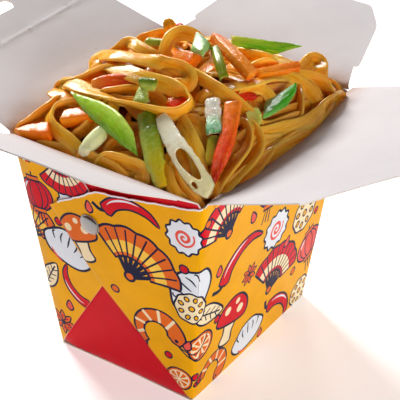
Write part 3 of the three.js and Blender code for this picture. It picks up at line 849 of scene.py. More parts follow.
def end_surface(flat):
    """The outer face of the -Y end wall: x along X and y up its slope."""
    u, v = flat[:, 0], flat[:, 1]
    half = BASE[0] + FLARE[0] * v / END_SLANT
    tuck = 0.7 * smooth((np.abs(u) - half + 6) / 4)
    points = np.array([0, -BASE[1], 0]) + u[:, None] * X + ease(v, FOOT)[:, None] * FRONT_UP
    return points - FRONT_OUT * (ease(-v, FOOT) + tuck)[:, None]


def end_walls():
    low, high = BASE[0] - 2.2, BASE[0] + FLARE[0] * SEAM / HEIGHT - 2.2
    top = END_SLANT * SEAM / HEIGHT
    outline = np.array([[-low, -1.2], [low, -1.2], [high, top], [-high, top]])
    flat, faces, inks = cut_out(outline, lattice=lattice((-44, -1), (44, 100), 4), longest=4)
    yield from card_pieces(("card_end_front", "card_end_back"), end_surface(flat), faces, inks + RED)


def base_panel():
    outline = catmull((BASE - 0.6) * [[-1, -1], [1, -1], [1, 1], [-1, 1]], 1, True)
    flat, faces, inks = cut_out(outline, lattice=lattice((-32, -42), (32, 42), 6), longest=6)
    points = np.column_stack([flat, 0.08 + 0.5 * smooth(1 - np.abs(flat[:, 0]) / 30)])
    yield from card_pieces(["card_base"], points, faces[:, ::-1], inks)


# ------------------------------------------------------------------ the lid flaps
# An outline is half of a flap, from its crease out: along the crease, and away from it. The left flap
# has a second crease at the shoulder, and the slot.
SHOULDER = 37.5
MINOR = [[42.3, 0], [40.3, 11], [34.4, SHOULDER], [26, 48.3]]
RIGHT = [[51.6, 0], [50.6, SHOULDER], [42.6, 45.2], [23, 66], [9, 66], [9, 70], [11, 73], [9, 77], [6, 79]]
LEFT = [[51.6, 0], [51, SHOULDER], [43.5, 45.2], [27, 64], [22, 66]]
SLOT_HALF, SLOT_NEAR, SLOT_FAR = 10.0, 50.4, 55.8
FLAPS = [
    {"name": "flap_front", "side": -Y, "tilt": 31, "outline": MINOR, "bow": 0.5, "seed": 1},
    {"name": "flap_back", "side": Y, "tilt": 15, "outline": MINOR, "bow": 0.6, "seed": 2},
    {"name": "flap_right", "side": X, "tilt": 19, "outline": RIGHT, "bow": 0.7, "seed": 3},
    {"name": "flap_left", "side": -X, "tilt": 16, "outline": LEFT, "bow": 0.8, "seed": 4},
]
BELOW = 1.6  # how far a flap's sheet reaches down the wall
BEND = 1.4  # how far either side of the crease the points start and end lie
CREASE_ROWS = (-1.1, -0.7, -0.35, 0, 0.35, 0.7, 1.1, 1.6, 2.4, 36.9, 37.5, 38.1, 39)


def rounded_corners(loop, radius):
    out = []
    for before, here, after in zip(np.roll(loop, 1, 0), loop, np.roll(loop, -1, 0)):
        near = min(radius, 0.4 * np.linalg.norm(before - here), 0.4 * np.linalg.norm(after - here))
        a = here + unit(before - here) * near
        b = here + unit(after - here) * near
        out.extend((1 - t) ** 2 * a + 2 * t * (1 - t) * here + t * t * b for t in (0, 0.33, 0.67, 1))
    return np.array(out)


def slot_outline():
    radius = (SLOT_FAR - SLOT_NEAR) / 2
    middle = (SLOT_FAR + SLOT_NEAR) / 2
    straight = SLOT_HALF - radius
    ends = (arc(radius, turn, turn + 180, 9, (x, middle)) for turn, x in ((-90, straight), (90, -straight)))
    return np.vstack([*ends])


def flap_outline(outline):
    edge = np.array(outline, float)
    edge[0, 1] = -BELOW
    loop = np.vstack([edge, (edge * [-1, 1])[::-1]])
    return np.vstack([rounded_corners(loop[1:-1], 2.2), loop[-1:], loop[:1]])


def flap_directions(side, tilt):
    """A flap's pivot, and the ways along its crease, down its wall and out along the flap."""
    is_end = abs(side[1]) > 0.5
    up = END_UP if is_end else SIDE_UP
    down = side * (up[1] if is_end else up[0]) * -1 - Z * up[2]
    pivot = side * (RIM[int(is_end)] + PIVOT_OUT) + Z * (HEIGHT + PIVOT_UP)
    slope = side * math.cos(math.radians(tilt)) + Z * math.sin(math.radians(tilt))
    return pivot, np.cross(Z, side), down, slope


def flap_surface(flat, directions, bow, seed, second_crease):
    """The outer face of a flap: bent over its crease, bowed along it and slightly wavy."""
    pivot, along, down, slope = directions
    a, d = flat[:, 0], flat[:, 1]
    sheet = pivot + a[:, None] * along + ease(-d, CREASE)[:, None] * down + ease(d, CREASE)[:, None] * slope
    held = smooth(d / 14)
    wave = FLAP_WAVE * held * np.sin(a / 11 + seed) * np.sin(d / 15 + seed)
    lift = bow * held * (1 - (a / 48) ** 2) + wave
    if second_crease:
        lift = lift - 0.07 * ease(d - SHOULDER, 1.0)
        lift = lift - 0.25 * np.exp(-(((d - SHOULDER) / 0.7) ** 2))
    return sheet + np.cross(along, slope) * (lift * smooth(d / 3))[:, None]


def flap(name, side, tilt, outline, bow, seed):
    is_end = outline is MINOR
    is_left = name == "flap_left"
    pivot, along, down, slope = directions = flap_directions(side, tilt)
    rows = [np.stack([np.arange(-50, 50.1, 2.5), np.full(41, d)], axis=1) for d in CREASE_ROWS]
    grid = lattice((-52, 3), (52, 80), 3, rows)
    shapes = () if is_end else laid_out(FLAP_PRINT)
    holes = [slot_outline()] if is_left else []
    flat, faces, inks = cut_out(flap_outline(outline), shapes, holes, grid)
    if is_end:
        inks[:] = RED
    sheet = flap_surface(flat, directions, bow, seed, second_crease=is_left)
    if vertex_normals(sheet, faces).mean(0) @ np.cross(along, slope) < 0:
        faces = faces[:, ::-1]
    soaked = np.clip(1 - flat[:, 1] / 16, 0, 1) ** 2
    (piece,) = card_pieces([name + "_card"], sheet, faces, inks, soaked)
    start, end = (Vector((pivot + way * BEND) * MM) for way in (down, slope))
    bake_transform(piece)
    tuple(start)
    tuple(end)
    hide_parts(name)


# ------------------------------------------------------------------ the rivets
RIVET_PLACE = np.array([-7.1, -BASE[1], 0]) + FRONT_UP * 74.3 + FRONT_OUT * 2.3
HEAD = 4.4
DOME = 1.7
LIP = 0.45
SPINS = 40


def rivets():
    """A domed head with a rolled lip, pressed down on the webs."""
    profile = [[0.0, DOME]]
    for angle in np.linspace(0, np.pi / 2, 12)[1:]:
        profile.append([(HEAD - 0.3) * math.sin(angle), LIP + (DOME - LIP) * math.cos(angle)])
    profile += [[HEAD, LIP * 0.7], [HEAD, 0.15], [HEAD - 0.3, -0.1], [0.0, -0.1]]
    spins = [2 * math.pi * k / SPINS for k in range(SPINS)]
    local = np.array([[r * math.cos(a), r * math.sin(a), h] for r, h in profile for a in spins])
    faces = [(a, d, c, b) for a, b, c, d in quads(len(profile), SPINS)]
    made = RIVET_PLACE + local[:, :1] * X + local[:, 1:2] * FRONT_UP + local[:, 2:] * FRONT_OUT
    metal = rivet_material()
    for name, points in (("rivet_front", made), ("rivet_back", half_turn(made))):
        on_box(make_piece(name + "_head", points, faces, [metal]), "rivet_metal", name)


def quads(rows, sides):
    """The faces between rings of points that follow each other, sides points to a ring."""
    for i in range(rows - 1):
        for k in range(sides):
            n = (k + 1) % sides
            yield i * sides + k, i * sides + n, (i + 1) * sides + n, (i + 1) * sides + k


for piece in [*card_walls(), *end_walls(), *base_panel()]:
    on_box(piece, "printed_card", "card_box")
for spec in FLAPS:
    flap(**spec)
rivets()

# ------------------------------------------------------------------ the heap
HEAP = {"front": 98.0, "rise": 24.0, "climb": 57.0, "bulge": 1.6, "sides": 0.45, "back": 0.4}
HEAP_LOWER = {"back": 5.5, "left": 3.0}  # than the CAD model's heap


def heap_height(x, y):
    front = 1 - (1 - np.clip((y + RIM[1]) / HEAP["climb"], 0, 1)) ** HEAP["bulge"]
    sides = 1 - HEAP["sides"] * np.minimum(np.abs(x) / RIM[0], 1.25) ** 4
    back = 1 - HEAP["back"] * smooth((y - 25) / 27)
    low_back = HEAP_LOWER["back"] * smooth((y + 4) / 38)
    low_left = HEAP_LOWER["left"] * smooth((-x - 16) / 22) * smooth((y + 30) / 30)
    return HEAP["front"] + HEAP["rise"] * front * sides * back - low_back - low_left


def heap_normal(points):
    x, y = points[:, 0], points[:, 1]
    dx = heap_height(x + 1, y) - heap_height(x - 1, y)
    dy = heap_height(x, y + 1) - heap_height(x, y - 1)
    return unit(np.stack([-dx, -dy, np.full(len(x), 2.0)], axis=1))


def on_heap(px, py, lift):
    """Where the line of sight through a pixel of the photograph comes down on the heap."""
    right, up, forward = camera_axes()
    focal = LENS / SENSOR * FRAME_PIXELS
    middle = FRAME_PIXELS / 2
    ray = unit(forward + (px - middle) / focal * right - (py - middle) / focal * up)
    steps = np.linspace(145, 85, 601)
    path = CAMERA_PLACE + ((steps - CAMERA_PLACE[2]) / ray[2])[:, None] * ray
    below = path[:, 2] <= heap_height(path[:, 0], path[:, 1]) + lift
    return path[np.argmax(below)] if below.any() else path[-1]


def frames_along(points, roll, facing=None):
    """Unit vectors along, across and out of the flat face of a strip, rolled about its own line.

    The face starts level with the heap, or turned to the point that it is facing.
    """
    along = unit(np.gradient(points, axis=0))
    if facing is None:
        across = unit(np.cross(heap_normal(points), along))
    else:
        across = unit(np.cross(along, points - facing))
    out = np.cross(along, across)
    angle = np.radians(roll)[:, None]
    return along, across * np.cos(angle) + out * np.sin(angle), out * np.cos(angle) - across * np.sin(angle)


def tube(points, across, out, width, thick, section, cup=0.0):
    """A strip through points. section is a loop in shares of the width and the thickness."""
    rings = []
    for x, y in section:
        side = across * (x * width)[:, None]
        rings.append(points + side + out * (y * thick + cup * width * (0.25 - x * x))[:, None])
    mesh = np.stack(rings, axis=1)
    rows, sides = mesh.shape[:2]
    faces = [*quads(rows, sides), tuple(range(sides))[::-1]]
    faces.append(tuple(range((rows - 1) * sides, rows * sides)))
    ring = section * [np.max(width), np.max(thick)]
    steps = np.linalg.norm(np.roll(ring, -1, axis=0) - ring, axis=1)
    run = run_along(points)
    where = {
        "run": np.repeat(run, sides),
        "aside": np.tile(np.cumsum(steps) - steps - steps.sum() / 2, rows),
        "share": np.repeat(run / run[-1], sides),
        "side": np.tile(2 * section[:, 0], rows),
        "face": np.tile(2 * section[:, 1], rows),
    }
    return mesh.reshape(-1, 3), faces, where


def ribbon_section(round_x, round_y):
    """A flat strip's section from the middle of its underside round, with rounded edges."""
    loop = [(0.0, -0.5)]
    for x, y, start in ((1, -1, -90), (1, 1, 0), (-1, 1, 90), (-1, -1, 180)):
        if (x, y) == (-1, 1):
            loop.append((0.0, 0.5))
        for angle in np.radians([start, start + 45, start + 90]):
            reach = np.array([round_x * math.cos(angle), round_y * math.sin(angle)])
            loop.append(np.array([x, y]) * (0.5 - np.array([round_x, round_y])) + reach)
    return np.array(loop)


NOODLE_SECTION = ribbon_section(0.07, 0.4)
EDGE_HIGHLIGHT_SHARE = 0.84  # beyond this share of its half width a noodle gets a painted highlight
DEEP = 7  # the depth in the heap at which the attribute "deep", which drives the noodles' painted shade, is 1


def wall_inner(z):
    """Half the box's inner width and length at a height."""
    return BASE + FLARE * np.clip(z / HEIGHT, 0, 1)[..., None] - CARD - 0.4


def kept_in(points, right=True):
    """Presses what stands past the walls, or past an upright flap, back to them."""
    limit = wall_inner(points[:, 2]) + 0.15
    flat = points[:, :2]
    over = np.maximum(np.abs(flat) - (limit - 1), 0)
    pressed = np.sign(flat) * (np.abs(flat) - over + over / (1 + over))
    if not right:
        pressed[:, 0] = np.where(flat[:, 0] > 0, flat[:, 0], pressed[:, 0])
    return np.column_stack([pressed, points[:, 2]])


class Bundle:
    """Strands gathered into one mesh, each with a tone of its own."""

    def __init__(self, inside_right=True):
        self.points, self.faces, self.columns = [], [], []
        self.count = 0
        self.inside_right = inside_right

    def add(self, points, frames, width, thick, cup, tone):
        """Adds a flat noodle along points, narrowed to a blunt end."""
        _, across, out = frames
        step = np.arange(len(points))
        blunt = np.clip(np.minimum(step, step[::-1]) * 0.4 + 0.5, 0, 1)
        full = width * blunt * (1 + 0.06 * np.sin(step * 0.37 + width * 9))
        mesh, faces, where = tube(points, across, out, full, thick * blunt, NOODLE_SECTION, cup)
        mesh = kept_in(mesh, self.inside_right)
        self.points.append(mesh)
        self.faces.extend(tuple(i + self.count for i in f) for f in faces)
        # deep drives the material's painted shade: the lower a point lies in the heap, the darker.
        deep = (heap_height(mesh[:, 0], mesh[:, 1]) - mesh[:, 2]) / DEEP
        # rim marks the edges that the material lightens as a painted highlight.
        rim = np.abs(where["side"]) > EDGE_HIGHLIGHT_SHARE
        self.columns.append({**where, "tone": np.full(len(mesh), tone), "deep": deep, "rim": rim})
        self.count += len(mesh)

    def piece(self, name, material):
        keys = ("run", "aside", "tone", "deep", "rim")
        columns = {key: np.concatenate([c[key] for c in self.columns]) for key in keys}
        piece = make_piece(name, np.vstack(self.points), self.faces, [material], None, columns, 50)
        return on_box(piece, "noodle", "noodles")


def noodle_material():
    """Wheat noodle in soy sauce: amber, with painted highlight at its edges and painted red-brown shade deep
    in the heap.
    """
    shader = Shader(
        "noodle",
        Subsurface_Weight=0.4,
        Subsurface_Scale=0.0025,
        Subsurface_Radius=(0.7, 0.4, 0.08),
        Coat_Weight=0.4,
        Coat_Roughness=0.14,
        Specular_IOR_Level=0.06,
    )
    tone = shader.attribute("tone")
    ambers = [(234, 120, 0), (255, 152, 2), (255, 172, 8), (255, 192, 36)]
    base = shader.ramp(tone, [(place, srgb(*c)) for place, c in zip((0.0, 0.4, 0.75, 1.0), ambers)])
    marks = shader.streaks(9.0, 0.7, tone)
    lined = shader.mix(shader.span(marks, 0.4, 0.7, 0.0, 0.5), base, srgb(255, 210, 70))
    worn = shader.mix(shader.span(marks, 0.46, 0.3, 0.0, 0.5), lined, srgb(206, 92, 0))
    sauced = shader.mix(shader.patches(95, 4, 0.52, 0.76, 0.0, 0.5), worn, srgb(214, 96, 0))
    # Painted highlight: the edges of each strip are lightened towards a pale amber.
    edge = shader.math("MULTIPLY", shader.attribute("rim"), 0.35)
    # Painted shade: a strip darkens to red-brown the deeper it lies in the heap.
    painted_depth_shade = shader.span(shader.attribute("deep"), 0.4, 1.3, 0.0, 0.96)
    painted_edge_highlight = shader.mix(edge, sauced, srgb(255, 206, 104))
    shader.link(shader.mix(painted_depth_shade, painted_edge_highlight, srgb(112, 22, 0)), "Base Color")
    shader.link(shader.patches(260, 4, 0.35, 0.7, 0.16, 0.4), "Roughness")
    shader.bump(shader.math("ADD", marks, shader.noise(700, 2)), 0.14)
    return shader.material


def core_painted_shade_material():
    # The core's dark red-brown is painted shade: noodles deep in the heap, coloured as if in shadow.
    shader = Shader("noodle_depth_painted_shade", Specular_IOR_Level=0.5)
    browns = [(0.35, srgb(110, 26, 4)), (0.7, srgb(178, 78, 10))]
    shader.link(shader.ramp(shader.noise(130, 5), browns), "Base Color")
    shader.link(shader.patches(300, 3, 0.3, 0.7, 0.3, 0.55), "Roughness")
    shader.bump(shader.noise(240, 4), 0.8, 0.8)
    return shader.material


CORE_DEPTH = 8.5
CORE_LUMPS = 1.6
CORE_EDGE_DROP = 4.5


def heap_core():
    """The closed mass of noodles under the strands, lumpy on top and lower along the walls."""
    nx, ny = 36, 44
    foot = 1.0
    grid = np.stack(np.meshgrid(np.linspace(-1, 1, nx), np.linspace(-1, 1, ny)), axis=-1).reshape(-1, 2)
    level = heap_height(grid[:, 0] * 43, grid[:, 1] * 51.5) - CORE_DEPTH
    level += CORE_LUMPS * np.sin(grid[:, 0] * 17) * np.sin(grid[:, 1] * 21 + grid[:, 0] * 5)
    level -= CORE_EDGE_DROP * smooth((np.abs(grid).max(axis=1) - 0.84) / 0.14)
    top = np.column_stack([grid * wall_inner(np.minimum(level, HEIGHT)), level])
    number = np.arange(nx * ny).reshape(ny, nx)
    corners = (number[:-1, :-1], number[:-1, 1:], number[1:, 1:], number[1:, :-1])
    faces = np.stack(corners, axis=-1).reshape(-1, 4).tolist()
    ring = [*number[0], *number[1:, -1], *number[-1, -2::-1], *number[-2:0:-1, 0]]
    low = grid[ring] * wall_inner(np.full(len(ring), foot))
    points = np.vstack([top, np.column_stack([low, np.full(len(ring), foot)])])
    beneath = range(len(top), len(points))
    faces += zip(np.roll(ring, -1), ring, beneath, np.roll(beneath, -1))
    faces.append(beneath[::-1])
    on_box(make_piece("noodles_core", points, faces, [core_painted_shade_material()], crisp=50), "noodle", "noodles")


# Fillers: strands that wander over the heap and lie on what is already there.
CELL = 0.8
GRID_X = np.arange(-46, 46.01, CELL)
GRID_Y = np.arange(-54, 54.01, CELL)
REACH = 2.5  # how far from its line a strand feels what it lies on
STEP = 1.6
FILLERS = 240
FILLER_LENGTHS = (40, 95)
FREE_WIDTH = np.array([39, 48])  # where a path may go on as it likes
LOOK_AHEAD = 7
TIGHTEST_TURN = 7.5
BELOW_TOP = 0.8  # how far a filler stays under the heap's surface
TOO_HIGH = 1.6  # a filler that would have to be pressed down further than this is left out


class Pile:
    """The height of the noodles laid so far, on a grid."""

    def __init__(self):
        self.cap = heap_height(*np.meshgrid(GRID_X, GRID_Y, indexing="ij"))
        self.level = self.cap - CORE_DEPTH
        near = range(-int(REACH / CELL), int(REACH / CELL) + 1)
        self.offsets = np.array([(i, j) for i in near for j in near if math.hypot(i, j) * CELL <= REACH])

    def cells(self, flat):
        """The cells within reach of each point of a path."""
        at = np.round((flat - [GRID_X[0], GRID_Y[0]]) / CELL).astype(int)
        cells = np.clip(at[:, None] + self.offsets, 0, [len(GRID_X) - 1, len(GRID_Y) - 1])
        return cells[..., 0], cells[..., 1]

    def rest_height(self, flat, half):
        return np.percentile(self.level[self.cells(flat)], 80, axis=1) + half

    def lay(self, points, half):
        cells = self.cells(points[:, :2])
        value = np.broadcast_to((points[:, 2] + half * 0.45)[:, None], cells[0].shape)
        np.maximum.at(self.level, cells, value)

    def lowest(self, draw):
        """A place where much of the heap's depth is still free."""
        inner = (np.abs(GRID_X)[:, None] < 40) & (np.abs(GRID_Y)[None] < 49)
        free = np.where(inner, self.cap - self.level, 0) + draw.random(self.level.shape) * 2.5
        i, j = np.unravel_index(np.argmax(np.where(inner, free, -1)), free.shape)
        return np.array([GRID_X[i], GRID_Y[j]])


def toward(heading):
    return np.array([math.cos(heading), math.sin(heading)])


def wander(draw, start, length):
    """A smooth level path that curves at random and turns back before the walls."""
    heading = draw.random() * 2 * np.pi
    bend = (1 if draw.random() < 0.5 else -1) / draw.uniform(9, 26)
    phase = draw.random(2) * 2 * np.pi
    path = [start]
    for s in np.arange(int(length / STEP)) * STEP:
        turn = bend * (0.75 + 0.6 * math.sin(phase[0] + s / 13)) + 0.02 * math.sin(phase[1] + s / 7)
        here = path[-1]
        ahead = here + LOOK_AHEAD * toward(heading)
        if (np.abs(ahead) > FREE_WIDTH).any():
            off = (math.atan2(-here[1], -here[0]) - heading + np.pi) % (2 * np.pi) - np.pi
            turn = math.copysign(1 / TIGHTEST_TURN, off)
        heading += turn * STEP
        path.append(np.clip(here + STEP * toward(heading), [-40, -49], [40, 48.5]))
    return np.array(path)


def rounded(values, reach):
    """A running mean, with the ends held."""
    kernel = np.hanning(2 * reach + 3)[1:-1]
    return np.convolve(np.pad(values, reach, "edge"), kernel / kernel.sum(), "valid")


def lay_filler(bundle, pile, draw, flat, width, thick, roll, tone):
    """Rests a strand on what is there, unless that would lift it out of the heap."""
    half = np.abs(thick / 2 * np.cos(np.radians(roll))) + np.abs(width / 2 * np.sin(np.radians(roll)))
    rest = pile.rest_height(flat, half)
    high = np.array([rest[max(0, i - 2) : i + 3].max() for i in range(len(flat))])
    z = rounded(0.5 * rest + 0.5 * high, 4)
    cap = heap_height(flat[:, 0], flat[:, 1]) - BELOW_TOP - half
    if np.mean(z - cap) > TOO_HIGH:
        return
    points = np.column_stack([flat, rounded(np.minimum(z, cap), 2)])
    pile.lay(points, half)
    bundle.add(points, frames_along(points, roll), width, thick, draw.uniform(-0.06, 0.1), tone)


def fill_heap(bundle, draw):
    pile = Pile()
    for _ in range(FILLERS):
        path = wander(draw, pile.lowest(draw), draw.uniform(*FILLER_LENGTHS))
        path = np.column_stack([rounded(path[:, 0], 2), rounded(path[:, 1], 2)])
        along = unit(np.gradient(path, axis=0))
        aside = np.stack([-along[:, 1], along[:, 0]], axis=1)
        run = np.arange(len(path)) * STEP
        lean = draw.choice([0, 20, -20, 40, -40])
        roll = lean + 26 * np.sin(draw.random() * 6.3 + run / draw.uniform(9, 22))
        width = draw.uniform(4.6, 6.2)
        thick = draw.uniform(1.2, 1.6)
        apart = width * math.cos(math.radians(lean)) + thick
        for k in range(int(draw.integers(1, 3))):
            drift = k * apart + 0.8 * np.sin(run / 17 + k)
            flat = np.clip(path + aside * drift[:, None], [-40.5, -49.4], [40.5, 49])
            tone = draw.random() + 0.35 * smooth(flat[:, 1].mean() / 30)
            lay_filler(bundle, pile, draw, flat, width, thick, roll, tone)


# Where strands lie along a wall: from, to, the way into the box, and how many.
WALL_RUNS = [
    ((-41.4, 50), (-41.4, -46), (1, 0), 52),
    ((-42, 50), (42, 50), (0, -1), 40),
    ((41.4, 50), (41.4, 22), (-1, 0), 9),
]


def line_walls(bundle, draw):
    """Fills the trough between the fillers and the walls with short strands that follow the walls."""
    for start, stop, inward, count in WALL_RUNS:
        length = math.dist(start, stop)
        for k in range(count):
            middle = length * (k * 0.618 % 1)
            reach = draw.uniform(8, 16)
            run = np.arange(max(0, middle - reach), min(length, middle + reach), 1.4)
            share = (run / length)[:, None]
            end = np.abs(run - middle) / reach
            off = 2.2 + 2.2 * np.sin(run / draw.uniform(3, 6) + draw.random() * 6.3) + 5 * end**3
            flat = np.array(start) * (1 - share) + np.array(stop) * share + np.array(inward) * off[:, None]
            depth = draw.uniform(1.8, 11)
            depth = depth + 0.9 * np.sin(run / draw.uniform(4, 8) + draw.random() * 6.3) + 3 * end**3
            points = np.column_stack([flat, heap_height(flat[:, 0], flat[:, 1]) - depth])
            roll = draw.uniform(-50, 50) + 20 * np.sin(run / draw.uniform(9, 16))
            width = draw.uniform(4.2, 5.2)
            frames = frames_along(points, roll)
            bundle.add(points, frames, width, 1.4, draw.uniform(-0.06, 0.1), draw.random())


# The strands that stand out: tone, width, and pixels of the photograph with a lift above the heap and
# how far the flat face turns from the line of sight.
HERO = {
    "left_back": (0.55, 5.6, [(60, 87, 1, 45), (74, 82, 2, 50), (90, 76, 2, 50), (107, 69, 2, 50)]),
    "left_tip": (0.55, 6.0, [
        (53, 90.5, 1.5, -30), (59, 95, 2, -30), (68, 99, 2, -30), (80, 105, 0, -30),
    ]),
    "far_left": (0.5, 5.0, [
        (18, 130.5, 1, 50), (27, 123, 2, 50), (38, 115, 2, 45), (50, 107, 2, 40), (60, 100, 1, 40),
    ]),
    "far_low": (0.25, 5.0, [(28, 128, 0, 20), (42, 117, 0, 20), (56, 106, 0, 20)]),
    "ridge": (0.9, 5.4, [
        (110, 57, 1, 45), (120, 49, 3, 40), (129, 43, 5, -10), (137, 46, 5, -30), (146, 52, 4, -28),
        (156, 59, 2, -20),
    ]),
    "back_a": (0.95, 4.8, [(141, 41, 1, 20), (150, 37, 2, 20), (160, 34, 2, 20), (165, 35.5, 1, 20)]),
    "back_b": (0.8, 4.8, [(150, 49, 0, 20), (158, 50, 1, 20), (166, 54, 0, 20)]),
    "loop_inner": (0.35, 4.8, [
        (160, 68, 2, -40), (170, 71, 3, -30), (178, 76, 2, 0), (182, 82, 0, 20),
    ]),
    "loop_upper": (0.75, 5.8, [
        (97, 70, 1, -10), (95, 62, 3, -38), (102, 56, 4, -56), (115, 55.5, 5, -50), (130, 57.5, 5, -47),
        (145, 60, 5, -46), (157, 62, 5, -20), (168, 63.5, 5, 30), (180, 66, 5, 35), (188, 72, 4, 30),
        (190, 80, 3, 10), (185, 86, 2, -10), (175, 85, 1, -40),
    ]),
    "under_loop": (0.65, 4.8, [
        (103, 94, 1, 50), (115, 91, 2, 50), (128, 89, 2, 50), (138, 89.5, 1, 50), (151, 93, 0, 40),
        (165, 105, 0, 30),
    ]),
    "in_c": (0.85, 4.4, [(112, 99, 0, 20), (122, 101, 1, 20), (135, 103, 0, 20)]),
    "loop_big": (0.85, 6.4, [
        (66.5, 91, 1, 150), (66, 83, 3, 130), (74, 84.5, 4, 142), (94, 92.5, 4, 122), (112, 99, 5, 96),
        (130, 104, 5, 80), (147, 108.5, 5, 68), (163, 113, 5, 54), (177, 113.5, 4, 48),
        (187, 108, 4, 55), (192, 101, 4, 75), (187, 95, 4, 120), (176, 89, 5, 155), (160, 83, 5, 182),
        (142, 77.5, 5, 200), (126, 72, 4, 210), (114, 68, 3, 222), (105, 65.5, 2, 255),
    ]),
    "loop_left": (0.8, 5.4, [
        (78, 103, 1, 130), (66, 104.5, 2, 128), (56, 107.5, 3, 118), (50, 114, 4, 75),
        (50.5, 123, 4, 45), (57, 131, 3, 25), (67, 139, 3, 15), (76, 147, 2, 10), (81, 154, 0, 10),
    ]),
    "rim_left": (0.3, 5.0, [
        (41, 146, 0, 10), (57, 148, 0, 20), (74, 155, 0, 20), (94, 162, 0, 20), (108, 168, 0, 0),
        (118, 175, -1, 0),
    ]),
    "by_leaf": (0.35, 5.2, [(76, 136, 0, 30), (84, 130, 1, 30), (94, 121, 1, 30)]),
    "arch_front": (0.65, 6.2, [
        (106, 159, 1, 40), (118, 160, 2, 38), (130, 163, 2, 35), (139, 167, 2, 30), (144, 174, 1, 30),
        (142, 182, -1, 20),
    ]),
    "arch_left": (0.6, 5.4, [(86, 156, 1, 30), (98, 161, 1, 30), (110, 166, 1, 30), (120, 174, 0, 30)]),
    "corner_a": (0.65, 4.8, [
        (168, 158, 0, 10), (167, 170, 0, 10), (170, 182, 0, 10), (176, 194, -1, 10),
    ]),
    "corner_b": (0.3, 5.0, [
        (175, 168, 0, 50), (180, 180, 0, 50), (188, 192, 0, 50), (196, 201, -1, 40),
    ]),
    "mid_wide": (0.85, 6.4, [
        (180, 121, 1, 10), (187, 132, 2, 5), (193, 146, 2, 5), (198, 160, 1, 5), (200, 174, 0, 5),
    ]),
    "mid_c": (0.5, 5.6, [(190, 121, 1, -20), (199, 125, 1, -10), (205, 136, 0, 0), (206, 148, -1, 0)]),
    "mid_b": (0.4, 5.4, [(150, 135, 0, 0), (168, 140, 0, 0), (180, 150, 0, 0), (190, 168, 0, 0)]),
    "down_right": (0.72, 5.6, [
        (190, 74, 2, 30), (202, 79, 3, 30), (214, 87, 4, 25), (227, 96, 4, 20), (239, 105, 3, 20),
        (249, 114, 3, 15), (256, 124, 1, 15),
    ]),
    "curl_back": (1.0, 5.4, [
        (238, 54, 1, 40), (250, 55, 3, 38), (262, 57, 4, 38), (271, 59, 4, 60), (274, 64, 3, 95),
        (266, 64, 4, 140), (255, 68, 2, 145),
    ]),
    "inner_arch": (0.5, 4.8, [
        (242, 99, 0, 30), (247, 91, 2, 20), (256, 88, 3, 0), (265, 91, 2, -10), (271, 99, 1, -10),
        (274, 108, -1, 0),
    ]),
    "arch_top": (1.0, 5.8, [
        (164, 57, 1, 40), (166, 46, 4, 35), (172, 37, 6, 25), (182, 33, 7, 10), (192, 35, 6, 5),
        (199, 41, 3, 10),
    ]),
    "stub": (1.0, 4.6, [(173, 35, 2, 10), (170, 27, 6, 10), (167, 19, 9, 10)]),
}
